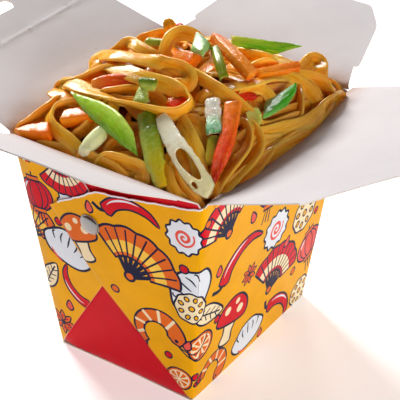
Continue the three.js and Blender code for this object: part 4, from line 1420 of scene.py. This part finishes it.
# These hang over the rim on the right.
OVERHANG = {
    "bundle1": (0.6, 5.0, [
        (244, 124, 1, 40), (249.5, 134, 3, 55), (247, 147, 3, 60), (238, 160, 3, 60), (228, 173, 2, 58),
        (218, 188, 0, 55),
    ]),
    "bundle2": (0.75, 5.2, [
        (248, 122, 1, 40), (257, 132, 3, 45), (260, 143, 3, 48), (256, 154, 3, 48), (248, 165, 2, 48),
        (236, 177, 1, 45), (223, 191, 0, 45),
    ]),
    "bundle3": (0.35, 5.0, [
        (268, 150, 1, 20), (260, 163, 0, 20), (248, 175, 0, 20), (234, 186, -1, 20),
    ]),
    "long_arc": (0.75, 5.2, [
        (206, 93, 1, -50), (222, 88.5, 2, -58), (240, 86, 3, -60), (256, 82.5, 4, -60),
        (272, 77.5, 4, -55), (286, 76, 4, -30), (297, 80, 4, -5), (306, 88, 3, 0), (313, 98, 2, 0),
        (317, 108, 0, 0),
    ]),
    "outer_arc": (0.65, 5.6, [
        (286, 77, 2, -30), (299, 76, 3, -15), (312, 78, 3, 0), (322, 83, 3, 20), (328, 91, 2, 40),
        (330, 99, 0, 50),
    ]),
    "hook": (0.7, 5.8, [
        (250, 134, 1, 20), (264, 133, 2, 20), (280, 129.5, 3, 15), (296, 125.5, 4, 10),
        (310, 120.5, 4, 10), (320, 113, 4, 30), (325, 105, 4, 60), (331, 100, 3, 60), (340, 97, 0, 30),
    ]),
    "edge": (0.25, 6.0, [
        (226, 189, -1, 30), (240, 178, 0, 30), (256, 165, 0, 30), (274, 153, 1, 35),
        (292, 142.5, 1, 35), (308, 134, 1, 35), (322, 125, 1, 30), (333, 113, 1, 20), (338, 102, 0, 10),
    ]),
    "edge2": (0.1, 5.0, [
        (256, 161, -1, 20), (276, 148, 1, 25), (294, 138, 1, 30), (310, 130, 1, 35), (322, 123, 1, 40),
        (331, 112, 1, 40), (337, 101, -1, 40),
    ]),
    "edge3": (0.25, 5.0, [
        (262, 158, -1, 60), (280, 145, 1, 62), (296, 134, 1, 60), (310, 126, -1, 60),
    ]),
    "low_a": (0.4, 5.0, [
        (258, 127.5, 0, 20), (270, 126.5, 1, 20), (284, 122, 1, 20), (300, 117, 0, 20),
    ]),
    "low_b": (0.55, 5.0, [
        (258, 140.5, 1, 20), (270, 140, 1, 20), (284, 137, 1, 20), (296, 131, 0, 20),
    ]),
    "low_c": (0.35, 6.0, [(256, 149, 0, 15), (268, 148, 0, 10), (280, 143, 0, 10)]),
    "inner_fall": (0.55, 5.0, [
        (292, 84, -1, 40), (298, 90, 1, 50), (300, 99, 2, 60), (299.5, 109, 1, 60), (296, 119, -1, 50),
    ]),
    "inner_bend": (0.6, 5.0, [
        (306, 86, 0, 10), (314, 92, 1, 10), (318, 101, 0, 10), (314, 111, -1, 0),
    ]),
    "inner_flat": (0.3, 5.6, [
        (262, 120, -2, 0), (282, 114, -1, 0), (300, 109, -1, 10), (318, 103, -2, 0),
    ]),
    "inner_back": (0.3, 5.0, [
        (258, 104, -2, 0), (274, 100, -1, 0), (292, 98, -1, 10), (306, 96, -2, 0),
    ]),
    # inner_dark's low tone is painted shade: a strand face that lies in shadow.
    "inner_dark": (0.1, 5.4, [(258, 95, -1, 20), (272, 91, 0, 20), (288, 89, 0, 20)]),
    "knob": (0.6, 7.0, [
        (300, 75, 1, 20), (306, 67, 3, 10), (312, 61, 5, 0), (318, 63, 5, 0), (319, 70, 4, 0),
    ]),
}
HERO_THICK = 1.25
HERO_CUP = 0.04
SEED = 5
BURIED = 6  # an end below this lift runs on down into the heap


def tail(end, before):
    """Where a strand that ends at a place runs on to: onward and down, inside the walls."""
    place = end + 4 * unit(end - before) - 4 * Z
    return np.clip(place, [-40.5, -48.5, 0], [42.2, 48.5, 200])


def hero_strand(bundle, tone, width, controls):
    """A strand along pixels of the photograph."""
    places = [on_heap(px, py, lift) for px, py, lift, _ in controls]
    turns = [[turn] for _, _, _, turn in controls]
    if controls[0][2] < BURIED:
        places.insert(0, tail(places[0], places[1]))
        turns.insert(0, turns[0])
    if controls[-1][2] < BURIED:
        places.append(tail(places[-1], places[-2]))
        turns.append(turns[-1])
    line = resample(catmull(places, 6), 1.2, catmull(turns, 6))
    points, turn = line[:, :3], line[:, 3]
    bundle.add(points, frames_along(points, turn, CAMERA_PLACE), width, HERO_THICK, HERO_CUP, tone)


def noodles():
    draw = np.random.default_rng(SEED)
    material = noodle_material()
    heap_core()
    fill, heroes, over = Bundle(), Bundle(), Bundle(inside_right=False)
    fill_heap(fill, draw)
    line_walls(fill, draw)
    for bundle, strands in ((heroes, HERO), (over, OVERHANG)):
        for strand in strands.values():
            hero_strand(bundle, *strand)
    fill.piece("noodles_fill", material)
    heroes.piece("noodles_loops", material)
    overhang = over.piece("noodles_overhang", material)
    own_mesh(overhang)


noodles()

# ------------------------------------------------------------------ the vegetables
# A form gives the two half widths along a piece: share of the length, left, right.
FORMS = {
    "stick": [(0, 0.94, 0.9), (0.3, 1, 0.96), (0.7, 0.96, 1), (1, 0.9, 0.94)],
    "point": [(0, 0.1, 0.22), (0.4, 0.62, 0.8), (0.8, 0.94, 1), (1, 1, 1)],
    "slab": [(0, 0.88, 0.94), (0.4, 1, 1), (0.72, 0.98, 0.94), (0.83, 0.66, 0.66), (1, 0.58, 0.64)],
    "strip": [(0, 0.5, 0.7), (0.08, 0.9, 0.95), (0.4, 1, 1), (0.8, 0.92, 0.85), (1, 0.6, 0.4)],
    "leaf": [
        (0, 0.03, 0.03), (0.1, 0.34, 0.24), (0.35, 0.9, 0.84), (0.55, 1, 1), (0.8, 0.76, 0.8),
        (1, 0.02, 0.05),
    ],
    "straight": [(0, 0.8, 0.7), (0.4, 1.5, 0.6), (0.62, 1.5, 0.5), (0.8, 0.8, 0.4), (1, 0.03, 0.03)],
    "diamond": [(0, 0.04, 0.04), (0.45, 0.62, 1.1), (0.6, 0.9, 0.86), (1, 0.04, 0.04)],
    "wedge": [(0, 0.88, 1.0), (0.3, 0.9, 0.9), (0.7, 0.86, 0.86), (0.86, 0.7, 0.5), (1, 0.12, 0.1)],
    "chip": [(0, 0.25, 0.5), (0.15, 0.8, 0.9), (0.5, 1, 1), (0.85, 0.9, 0.7), (1, 0.4, 0.2)],
    "shard": [(0, 0.06, 0.1), (0.35, 0.5, 0.6), (0.7, 0.9, 0.94), (0.95, 1, 0.94), (1, 0.9, 0.8)],
    "petal": [(0, 0.3, 0.25), (0.12, 0.66, 0.6), (0.5, 0.98, 1), (0.85, 0.94, 0.9), (1, 0.5, 0.6)],
    "slice": [
        (0, 0.46, 0.5), (0.1, 0.78, 0.7), (0.3, 0.86, 0.78), (0.6, 1, 1), (0.86, 0.86, 0.92),
        (0.96, 0.4, 0.8), (1, 0.05, 0.4),
    ],
}

CARROT = {
    "slot": "carrot",
    "power": 0.34,
    "rough": 0.2,
    "coat": 0.6,
    "tips": [(0, (255, 150, 20)), (0.5, (255, 132, 6)), (1, (255, 112, 0))],
    "belly": (255, 108, 0),
}
RED_PEPPER = {
    "slot": "red_pepper",
    "rough": 0.14,
    "tips": [(0, (250, 84, 18)), (0.5, (240, 44, 12)), (1, (190, 16, 6))],
    "belly": (236, 96, 20),
}
GREEN_PEPPER = {
    "slot": "green_pepper",
    "power": 0.5,
    "rough": 0.2,
    "tips": [(0, (92, 122, 0)), (0.45, (140, 160, 8)), (0.8, (210, 184, 4)), (1, (236, 192, 4))],
    "belly": (170, 136, 30),
}
SPRING_ONION = {
    "slot": "spring_onion",
    "rough": 0.1,
    "tips": [(0, (128, 176, 34)), (0.5, (146, 196, 36)), (1, (70, 128, 20))],
    "belly": (186, 196, 110),
}
PALE_ONION = {
    "slot": "pale_onion",
    "rough": 0.12,
    "tips": [(0, (220, 212, 172)), (1, (210, 210, 144))],
    "belly": (206, 190, 130),
    "glow": 0.5,
}
# The direction in which a wet flat face returns the key light to the camera.
GLINT = (-0.257, -0.304, 0.918)

# size is width and thickness. A path is places on the heap and seen is pixels of the photograph, each
# with the height of the piece's centre above the heap. roll tips the face, or face gives its direction;
# cup arches it, shear slants its two ends, left and right tint its edges, painted_glints is pale specks
# of painted highlight, and windows are holes: share of the length, aside, half length and half width.
SLICES = {
    "carrot_1": dict(
        CARROT, form="point", size=(7, 5), face=GLINT, coat=0.2, shear=(0, -0.3),
        seen=[(16, 134.3, 1), (51, 131.5, 3.2)],
    ),
    "carrot_2": dict(
        CARROT, form="stick", size=(6.4, 5), face=GLINT, coat=0.22, shear=(0.2, -0.4),
        seen=[(63, 119, 3), (92, 115, 2.6)],
    ),
    "carrot_3": dict(
        CARROT, form="stick", size=(6.6, 5), roll=14, shear=(0.6, 0.2),
        seen=[(175, 59, 3.6), (197, 61, 4.4)],
    ),
    "carrot_4": dict(
        CARROT, form="stick", size=(5.6, 4), roll=-14, shear=(0.5, -0.2), grit=0.25, coat=0.35,
        painted_glints=((255, 190, 90), 0.25),
        tips=[(0, (255, 112, 10)), (0.4, (255, 146, 16)), (1, (255, 140, 4))],
        seen=[(217.5, 39, 8.4), (235, 57, 7.6), (252.5, 76.5, 6.6)],
    ),
    "carrot_5": dict(
        CARROT, form="stick", size=(3.8, 3.4), shear=(0, 0.3), seen=[(257, 74.5, 4.4), (299, 67, 6.6)],
    ),
    "red_pepper_1": dict(
        RED_PEPPER, form="strip", size=(6.4, 2), roll=18, cup=0.05, coat=0.3,
        tips=[(0, (255, 150, 50)), (0.4, (255, 84, 4)), (1, (190, 30, 0))],
        seen=[(92, 86.5, 2.6), (113, 81.5, 3.2), (137, 82.5, 2.6)],
    ),
    "red_pepper_2": dict(
        RED_PEPPER, form="shard", power=0.4, size=(5.8, 2.8), shear=(0.2, 0.5), coat=0.2,
        tips=[(0, (255, 160, 60)), (0.35, (255, 76, 20)), (1, (250, 50, 16))],
        seen=[(166, 104, 1.5), (182, 104.5, 1.5)],
    ),
    "red_pepper_3": dict(
        RED_PEPPER, form="wedge", size=(6.8, 3), roll=24, cup=0.1, rough=0.09,
        tips=[(0, (255, 136, 16)), (0.35, (255, 96, 4)), (0.65, (246, 50, 0)), (1, (160, 10, 0))],
        seen=[(233, 103.5, 4.6), (229, 132, 4.6), (219, 168, 4), (215.5, 184, 2.8)],
    ),
    "red_pepper_4": dict(
        RED_PEPPER, form="chip", size=(4.6, 2.2), seen=[(233, 95, 1.6), (257, 96, 1.2)],
    ),
    "red_pepper_5": dict(
        RED_PEPPER, form="chip", size=(3.6, 2.4), seen=[(172, 25.5, 6), (184, 26.5, 6)],
    ),
    "green_pepper_1": dict(
        GREEN_PEPPER, form="slab", size=(7.7, 2.8), roll=4, cup=0.12, rough=0.3, grit=0.16,
        left=(186, 196, 90), painted_glints=((214, 222, 130), 0.14),
        seen=[(145.5, 113, 2.4), (150.5, 139, 3), (155.5, 163, 2.8), (161, 188, 1.2)],
    ),
    "green_pepper_2": dict(
        GREEN_PEPPER, form="strip", size=(5, 2.6), tips=[(0, (146, 146, 20)), (1, (210, 170, 24))],
        seen=[(215, 136, 2.4), (211, 165, 2.2)],
    ),
    "spring_onion_1": dict(
        SPRING_ONION, form="leaf", size=(8.6, 1.8), roll=18, cup=0.16,
        tips=[(0, (180, 214, 90)), (0.2, (176, 222, 50)), (0.6, (162, 214, 24)), (1, (100, 152, 14))],
        right=(200, 230, 90), left=(96, 160, 10),
        seen=[(73, 93.5, 4.6), (92, 107, 5.4), (110.5, 120.5, 5.8), (125, 136, 5.4), (139, 156, 4)],
    ),
    "spring_onion_2": dict(
        SPRING_ONION, form="straight", size=(5, 1.8), roll=36, cup=0.12,
        tips=[(0, (206, 204, 60)), (0.3, (164, 208, 40)), (1, (84, 164, 10))], right=(206, 220, 90),
        left=(90, 170, 10), path=[(9.4, 16.4, 7.6), (19.6, 26, 7), (28.6, 36.6, 9.6)],
    ),
    "spring_onion_3": dict(
        SPRING_ONION, form="diamond", size=(10.6, 1.8), roll=34, cup=0.14, rough=0.16,
        tips=[(0, (70, 172, 4)), (0.5, (60, 160, 14)), (1, (130, 196, 90))], left=(206, 240, 180),
        coat=0.08, path=[(40.2, 13.8, 5.2), (41.2, -10.6, 2.2)],
    ),
    "spring_onion_4": dict(
        SPRING_ONION, form="stick", size=(4, 1.6), roll=30, cup=0.3, coat=0.25,
        tips=[(0, (130, 156, 40)), (1, (124, 128, 6))],
        seen=[(215.5, 49, 6.6), (219.5, 63, 6.8), (224.5, 79, 6)],
    ),
    "spring_onion_5": dict(
        SPRING_ONION, form="chip", size=(5.4, 2.2), roll=10, cup=0.4, rough=0.2, coat=0.3,
        tips=[(0, (104, 132, 4)), (1, (84, 116, 0))], left=(186, 196, 84),
        seen=[(140, 84, 7), (159, 85.5, 7)],
    ),
    "spring_onion_6": dict(
        SPRING_ONION, form="stick", size=(4, 2), cup=0.2, tips=[(0, (176, 182, 50)), (1, (146, 160, 30))],
        seen=[(146, 42, 4), (164, 44, 4)],
    ),
    "spring_onion_7": dict(
        SPRING_ONION, form="chip", size=(6, 2.2), roll=20, cup=-0.2,
        tips=[(0, (222, 214, 110)), (1, (200, 160, 40))], right=(206, 224, 100),
        seen=[(250.5, 108, 5), (257, 126, 4.6)],
    ),
    "onion_1": dict(
        PALE_ONION, form="petal", size=(6.4, 3), roll=10, cup=0.2,
        tips=[(0, (250, 246, 206)), (0.5, (240, 244, 180)), (1, (222, 230, 140))],
        seen=[(81, 156.5, 2), (91, 144, 3.2), (105, 129.5, 2.6)],
    ),
    "onion_2": dict(
        PALE_ONION, form="shard", size=(7.2, 2.2), roll=20, cup=0.25, rough=0.3, grit=0.6, coat=0.35,
        tips=[(0, (156, 174, 40)), (0.5, (182, 196, 80)), (1, (146, 166, 44))], left=(124, 156, 30),
        painted_glints=((230, 232, 176), 0.4), seen=[(146, 86.5, 5), (140.5, 106, 5)],
    ),
    "onion_3": dict(
        PALE_ONION, form="diamond", size=(8.6, 3), roll=6, cup=0.24,
        tips=[(0, (206, 226, 190)), (0.6, (200, 224, 176)), (1, (130, 196, 80))], coat=0.3,
        left=(140, 204, 80), right=(90, 176, 40), seen=[(196, 38.5, 7), (204, 60, 7)],
    ),
    "onion_4": dict(
        PALE_ONION, form="stick", size=(5.8, 2.8), roll=10, cup=0.15, rough=0.35, grit=0.4,
        tips=[
            (0, (236, 230, 208)), (0.45, (244, 242, 226)), (0.62, (190, 232, 190)),
            (0.85, (130, 216, 156)), (1, (50, 166, 90)),
        ],
        painted_glints=((255, 255, 250), 0.35), seen=[(212.8, 100, 4.2), (214, 134, 4)],
    ),
    "onion_5": dict(
        PALE_ONION, form="slice", size=(8.8, 1.5), roll=16, cup=0.14,
        tips=[(0, (244, 230, 190)), (0.3, (252, 244, 222)), (0.7, (244, 232, 180)), (1, (240, 230, 170))],
        seen=[
            (162, 117, 4.2), (172.5, 138, 4.8), (184, 158, 5.2), (195.5, 175.5, 4.6), (213.5, 200, 1.8),
        ],
        windows=[(0.6, 0.2, 7.6, 2.3), (0.8, -2.2, 1.5, 0.7)],
    ),
}


def vegetable_material(
    name, tips, belly, glow=0.2, left=None, right=None, grit=0.1, coat=0.6, painted_glints=None, **_
):
    """Wet cut vegetable: colour along the piece, tinted edges, fibres, and patches of sauce."""
    shader = Shader(
        name,
        Subsurface_Weight=glow,
        Subsurface_Scale=0.0012,
        Subsurface_Radius=(1.0, 0.85, 0.5),
        Coat_Weight=coat,
        Coat_Roughness=0.07,
        Specular_IOR_Level=0.15,
    )
    colour = shader.ramp(shader.attribute("share"), [(t, srgb(*c)) for t, c in tips])
    side = shader.attribute("side")
    for sign, tint in ((-1.0, left), (1.0, right)):
        if tint:
            reach = shader.span(shader.math("MULTIPLY", side, sign), 0.1, 0.9)
            colour = shader.mix(reach, colour, srgb(*tint))
    under = shader.span(shader.attribute("face"), 0.2, -0.5)
    colour = shader.mix(under, colour, srgb(*belly))
    fibres = shader.streaks(7.0, 0.55)
    pale = brighter(srgb(*tips[0][1]), 1.35, 0.03)
    colour = shader.mix(shader.span(fibres, 0.45, 0.75, 0.0, 0.4), colour, pale)
    deep = brighter(srgb(*tips[-1][1]), 0.55)
    colour = shader.mix(shader.patches(330, 4, 0.55, 0.78, 0.0, 0.5), colour, deep)
    # Painted highlight: pale specks stand for glints of light on a wet face.
    if painted_glints:
        glint_specks = shader.patches(800, 3, 0.48, 0.62, 0.0, painted_glints[1])
        colour = shader.mix(glint_specks, colour, srgb(*painted_glints[0]))
    sauce = shader.patches(140, 4, 0.58, 0.78, 0.0, 0.35)
    shader.link(shader.mix(sauce, colour, srgb(206, 124, 24)), "Base Color")
    shader.link(shader.patches(600, 3, 0.35, 0.7, 0.16, 0.45), "Roughness")
    shader.bump(shader.math("ADD", fibres, shader.noise(1000, 3)), grit)
    return shader.material


def half_widths(form, share):
    knots = np.array(FORMS[form])
    return [np.interp(share, knots[:, 0], knots[:, column]) for column in (1, 2)]


def lumps(points, size, seed):
    """Smooth noise in -1 to 1 with lumps of a size."""
    return np.array([noise.noise(Vector(p) / size + Vector((seed, 3.1 * seed, 0))) for p in points])


def course(spacing, path=(), seen=(), roll=0, face=None, **_):
    """A slice's centre line with the directions along it, across it and out of its face."""
    places = [(x, y, heap_height(x, y) + lift) for x, y, lift in path]
    places += [on_heap(*pixel) for pixel in seen]
    points = resample(catmull(places, 12), spacing)
    if face is None:
        return points, *frames_along(points, np.full(len(points), float(roll)))
    along = unit(np.gradient(points, axis=0))
    across = unit(np.cross(face, along))
    return points, along, across, np.cross(along, across)


STICK_SIDES = 20
STICK_EDGE = 0.7  # how rounded its ends are
LEAF_EDGE = 0.9


def cut_stick(form, size, power, rough, seed, shear=(0.0, 0.0), cup=0.0, **lie):
    """A stick cut from something firm: squared section, rounded edges, slanted rough ends.

    A low power makes the section squarer.
    """
    width, thick = size
    points, along, across, out = course(0.6, **lie)
    share = np.linspace(0, 1, len(points))
    run = share * run_along(points)[-1]
    near = np.maximum(STICK_EDGE - np.minimum(run, run[-1] - run), 0)
    inset = STICK_EDGE - np.sqrt(np.maximum(STICK_EDGE**2 - near**2, 0))
    left, right = half_widths(form, share)
    points = points + across * ((right - left) * width / 4)[:, None]
    full = (left + right) * width / 2 - 2 * inset
    round_ = polar(1, np.linspace(0, 2 * np.pi, STICK_SIDES, endpoint=False) - np.pi / 2)
    section = 0.5 * np.sign(round_) * np.abs(round_) ** power
    mesh, faces, where = tube(points, across, out, full, thick - 2 * inset, section, cup)
    slant = shear[0] * (1 - where["share"]) + shear[1] * where["share"]
    mesh = mesh + np.repeat(along, STICK_SIDES, axis=0) * (where["side"] * slant * width / 2)[:, None]
    push = rough * (lumps(mesh, 1.9, seed) + 0.5 * lumps(mesh, 0.8, seed + 5))
    mesh = mesh + unit(mesh - np.repeat(points, STICK_SIDES, axis=0)) * push[:, None]
    return mesh, faces, where


def leaf_outline(form, width, length, rough, seed):
    share = np.linspace(0, 1, 60)
    jag = 1 + 0.5 * rough * np.array([noise.noise(Vector((t * length / 1.5, seed, 0))) for t in share])
    left, right = [rounded(half, 2) * jag * width / 2 for half in half_widths(form, share)]
    lower = np.stack([share * length, -left], axis=1)
    upper = np.stack([share * length, right], axis=1)
    return np.vstack([lower, upper[::-1]])


def leaf_sheet(outline, holes, width, length):
    """A flat slice as triangles, and at each point how far it is rounded off towards its edge."""
    grid = lattice((0.3, -width * 0.6), (length, width * 0.6), 0.7)
    flat, faces, _ = cut_out(outline, (), holes, grid, 0.7)
    border = np.full(len(flat), 9.0)
    for loop in [outline, *holes]:
        border = np.minimum(border, distance_to(flat, np.vstack([loop, loop[:1]])))
    return flat, faces, np.sqrt(1 - (1 - np.clip(border / LEAF_EDGE, 0, 1)) ** 2)


def cut_leaf(form, size, rough, seed, cup=0.0, windows=(), **lie):
    """A thin slice: an uneven outline with soft edges, arched across, with any windows cut through."""
    width, thick = size
    points, _, across, out = course(0.5, **lie)
    length = np.linalg.norm(np.diff(points, axis=0), axis=1).sum()
    holes = []
    for at, aside, long, wide in windows:
        holes.append(circle(long, (at * length, aside), 20, wide / long, 4, 0.08, 3))
    outline = leaf_outline(form, width, length, rough, seed)
    flat, faces, soft = leaf_sheet(outline, holes, width, length)
    run, aside = flat.T
    at = np.clip(run / length, 0, 1) * (len(points) - 1)
    place, over, up = (columns_at(at, np.arange(len(points)), table) for table in (points, across, out))
    place = place + over * aside[:, None]
    arch = cup * width * (0.25 - (aside / width) ** 2) * 4
    swell = rough * (lumps(place, 2.0, seed) + 0.5 * lumps(place, 0.8, seed))
    middle = place + up * (arch + swell)[:, None]
    half = up * (thick * (0.12 + 0.38 * soft))[:, None]
    side = np.clip(2 * aside / width, -1, 1)
    where = {"run": run, "aside": aside, "share": run / length, "side": side}
    where = {key: np.tile(column, 2) for key, column in where.items()}
    where["face"] = np.repeat([1.0, -1.0], len(flat))
    return np.vstack([middle + half, middle - half]), both_sides(faces, len(flat)), where


def vegetables():
    for seed, (name, spec) in enumerate(SLICES.items()):
        cut = cut_stick if "power" in spec else cut_leaf
        mesh, faces, where = cut(seed=seed + 0.5, **spec)
        material = vegetable_material(name, **spec)
        piece = make_piece(name + "_cut", kept_in(mesh), faces, [material], attributes=where)
        on_box(piece, spec["slot"], name)


vegetables()

# ------------------------------------------------------------------ stage and light
FAR = 3000


def add_stage():
    corners = [[-FAR, -FAR, 0], [FAR, -FAR, 0], [FAR, FAR, 0], [-FAR, FAR, 0]]
    shader = Shader("pale_floor", Roughness=0.9, Emission_Strength=0.42, Emission_Color=(1, 1, 1, 1))
    tone = shader.ramp(shader.noise(3, 2), [(0.3, srgb(248, 248, 248)), (0.7, srgb(251, 251, 251))])
    shader.link(tone, "Base Color")
    make_piece("floor", corners, [(0, 1, 2, 3)], [shader.material])
    world = bpy.data.worlds.new("studio")
    world.use_nodes = True
    background = world.node_tree.nodes["Background"]
    background.inputs["Color"].default_value = (0.98, 0.98, 1.0, 1)
    background.inputs["Strength"].default_value = 0.11
    bpy.context.scene.world = world
    bpy.context.scene.view_settings.view_transform = "Standard"


def add_light(name, place, aim, size, power, colour=(1, 1, 1), glossy=True, diffuse=True):
    data = bpy.data.lights.new(name, "AREA")
    data.shape = "RECTANGLE"
    data.size, data.size_y = size
    data.energy = power
    data.color = colour
    light = bpy.data.objects.new(name, data)
    bpy.context.scene.collection.objects.link(light)
    light.location = Vector(place)
    light.visible_glossy = glossy
    light.visible_diffuse = diffuse
    light.rotation_euler = (Vector(aim) - Vector(place)).to_track_quat("-Z", "Y").to_euler()


add_stage()
TARGET = (0, 0, 0.09)  # metres, as the lights' places and sizes are
add_light("key", (-1.08, 0.52, 0.8), TARGET, (0.45, 0.45), 28.5, (1, 0.985, 0.98))
add_light("back_box", (-0.52, 0.88, 0.66), TARGET, (0.2, 0.16), 1.8, (1, 0.95, 0.96))
add_light("sheen_box", (-0.62, 0.9, 1.03), TARGET, (0.4, 0.3), 12, (1, 0.96, 0.95), diffuse=False)
add_light("front_box", (1.16, -0.47, 0.28), TARGET, (0.8, 0.5), 10.8, glossy=False)
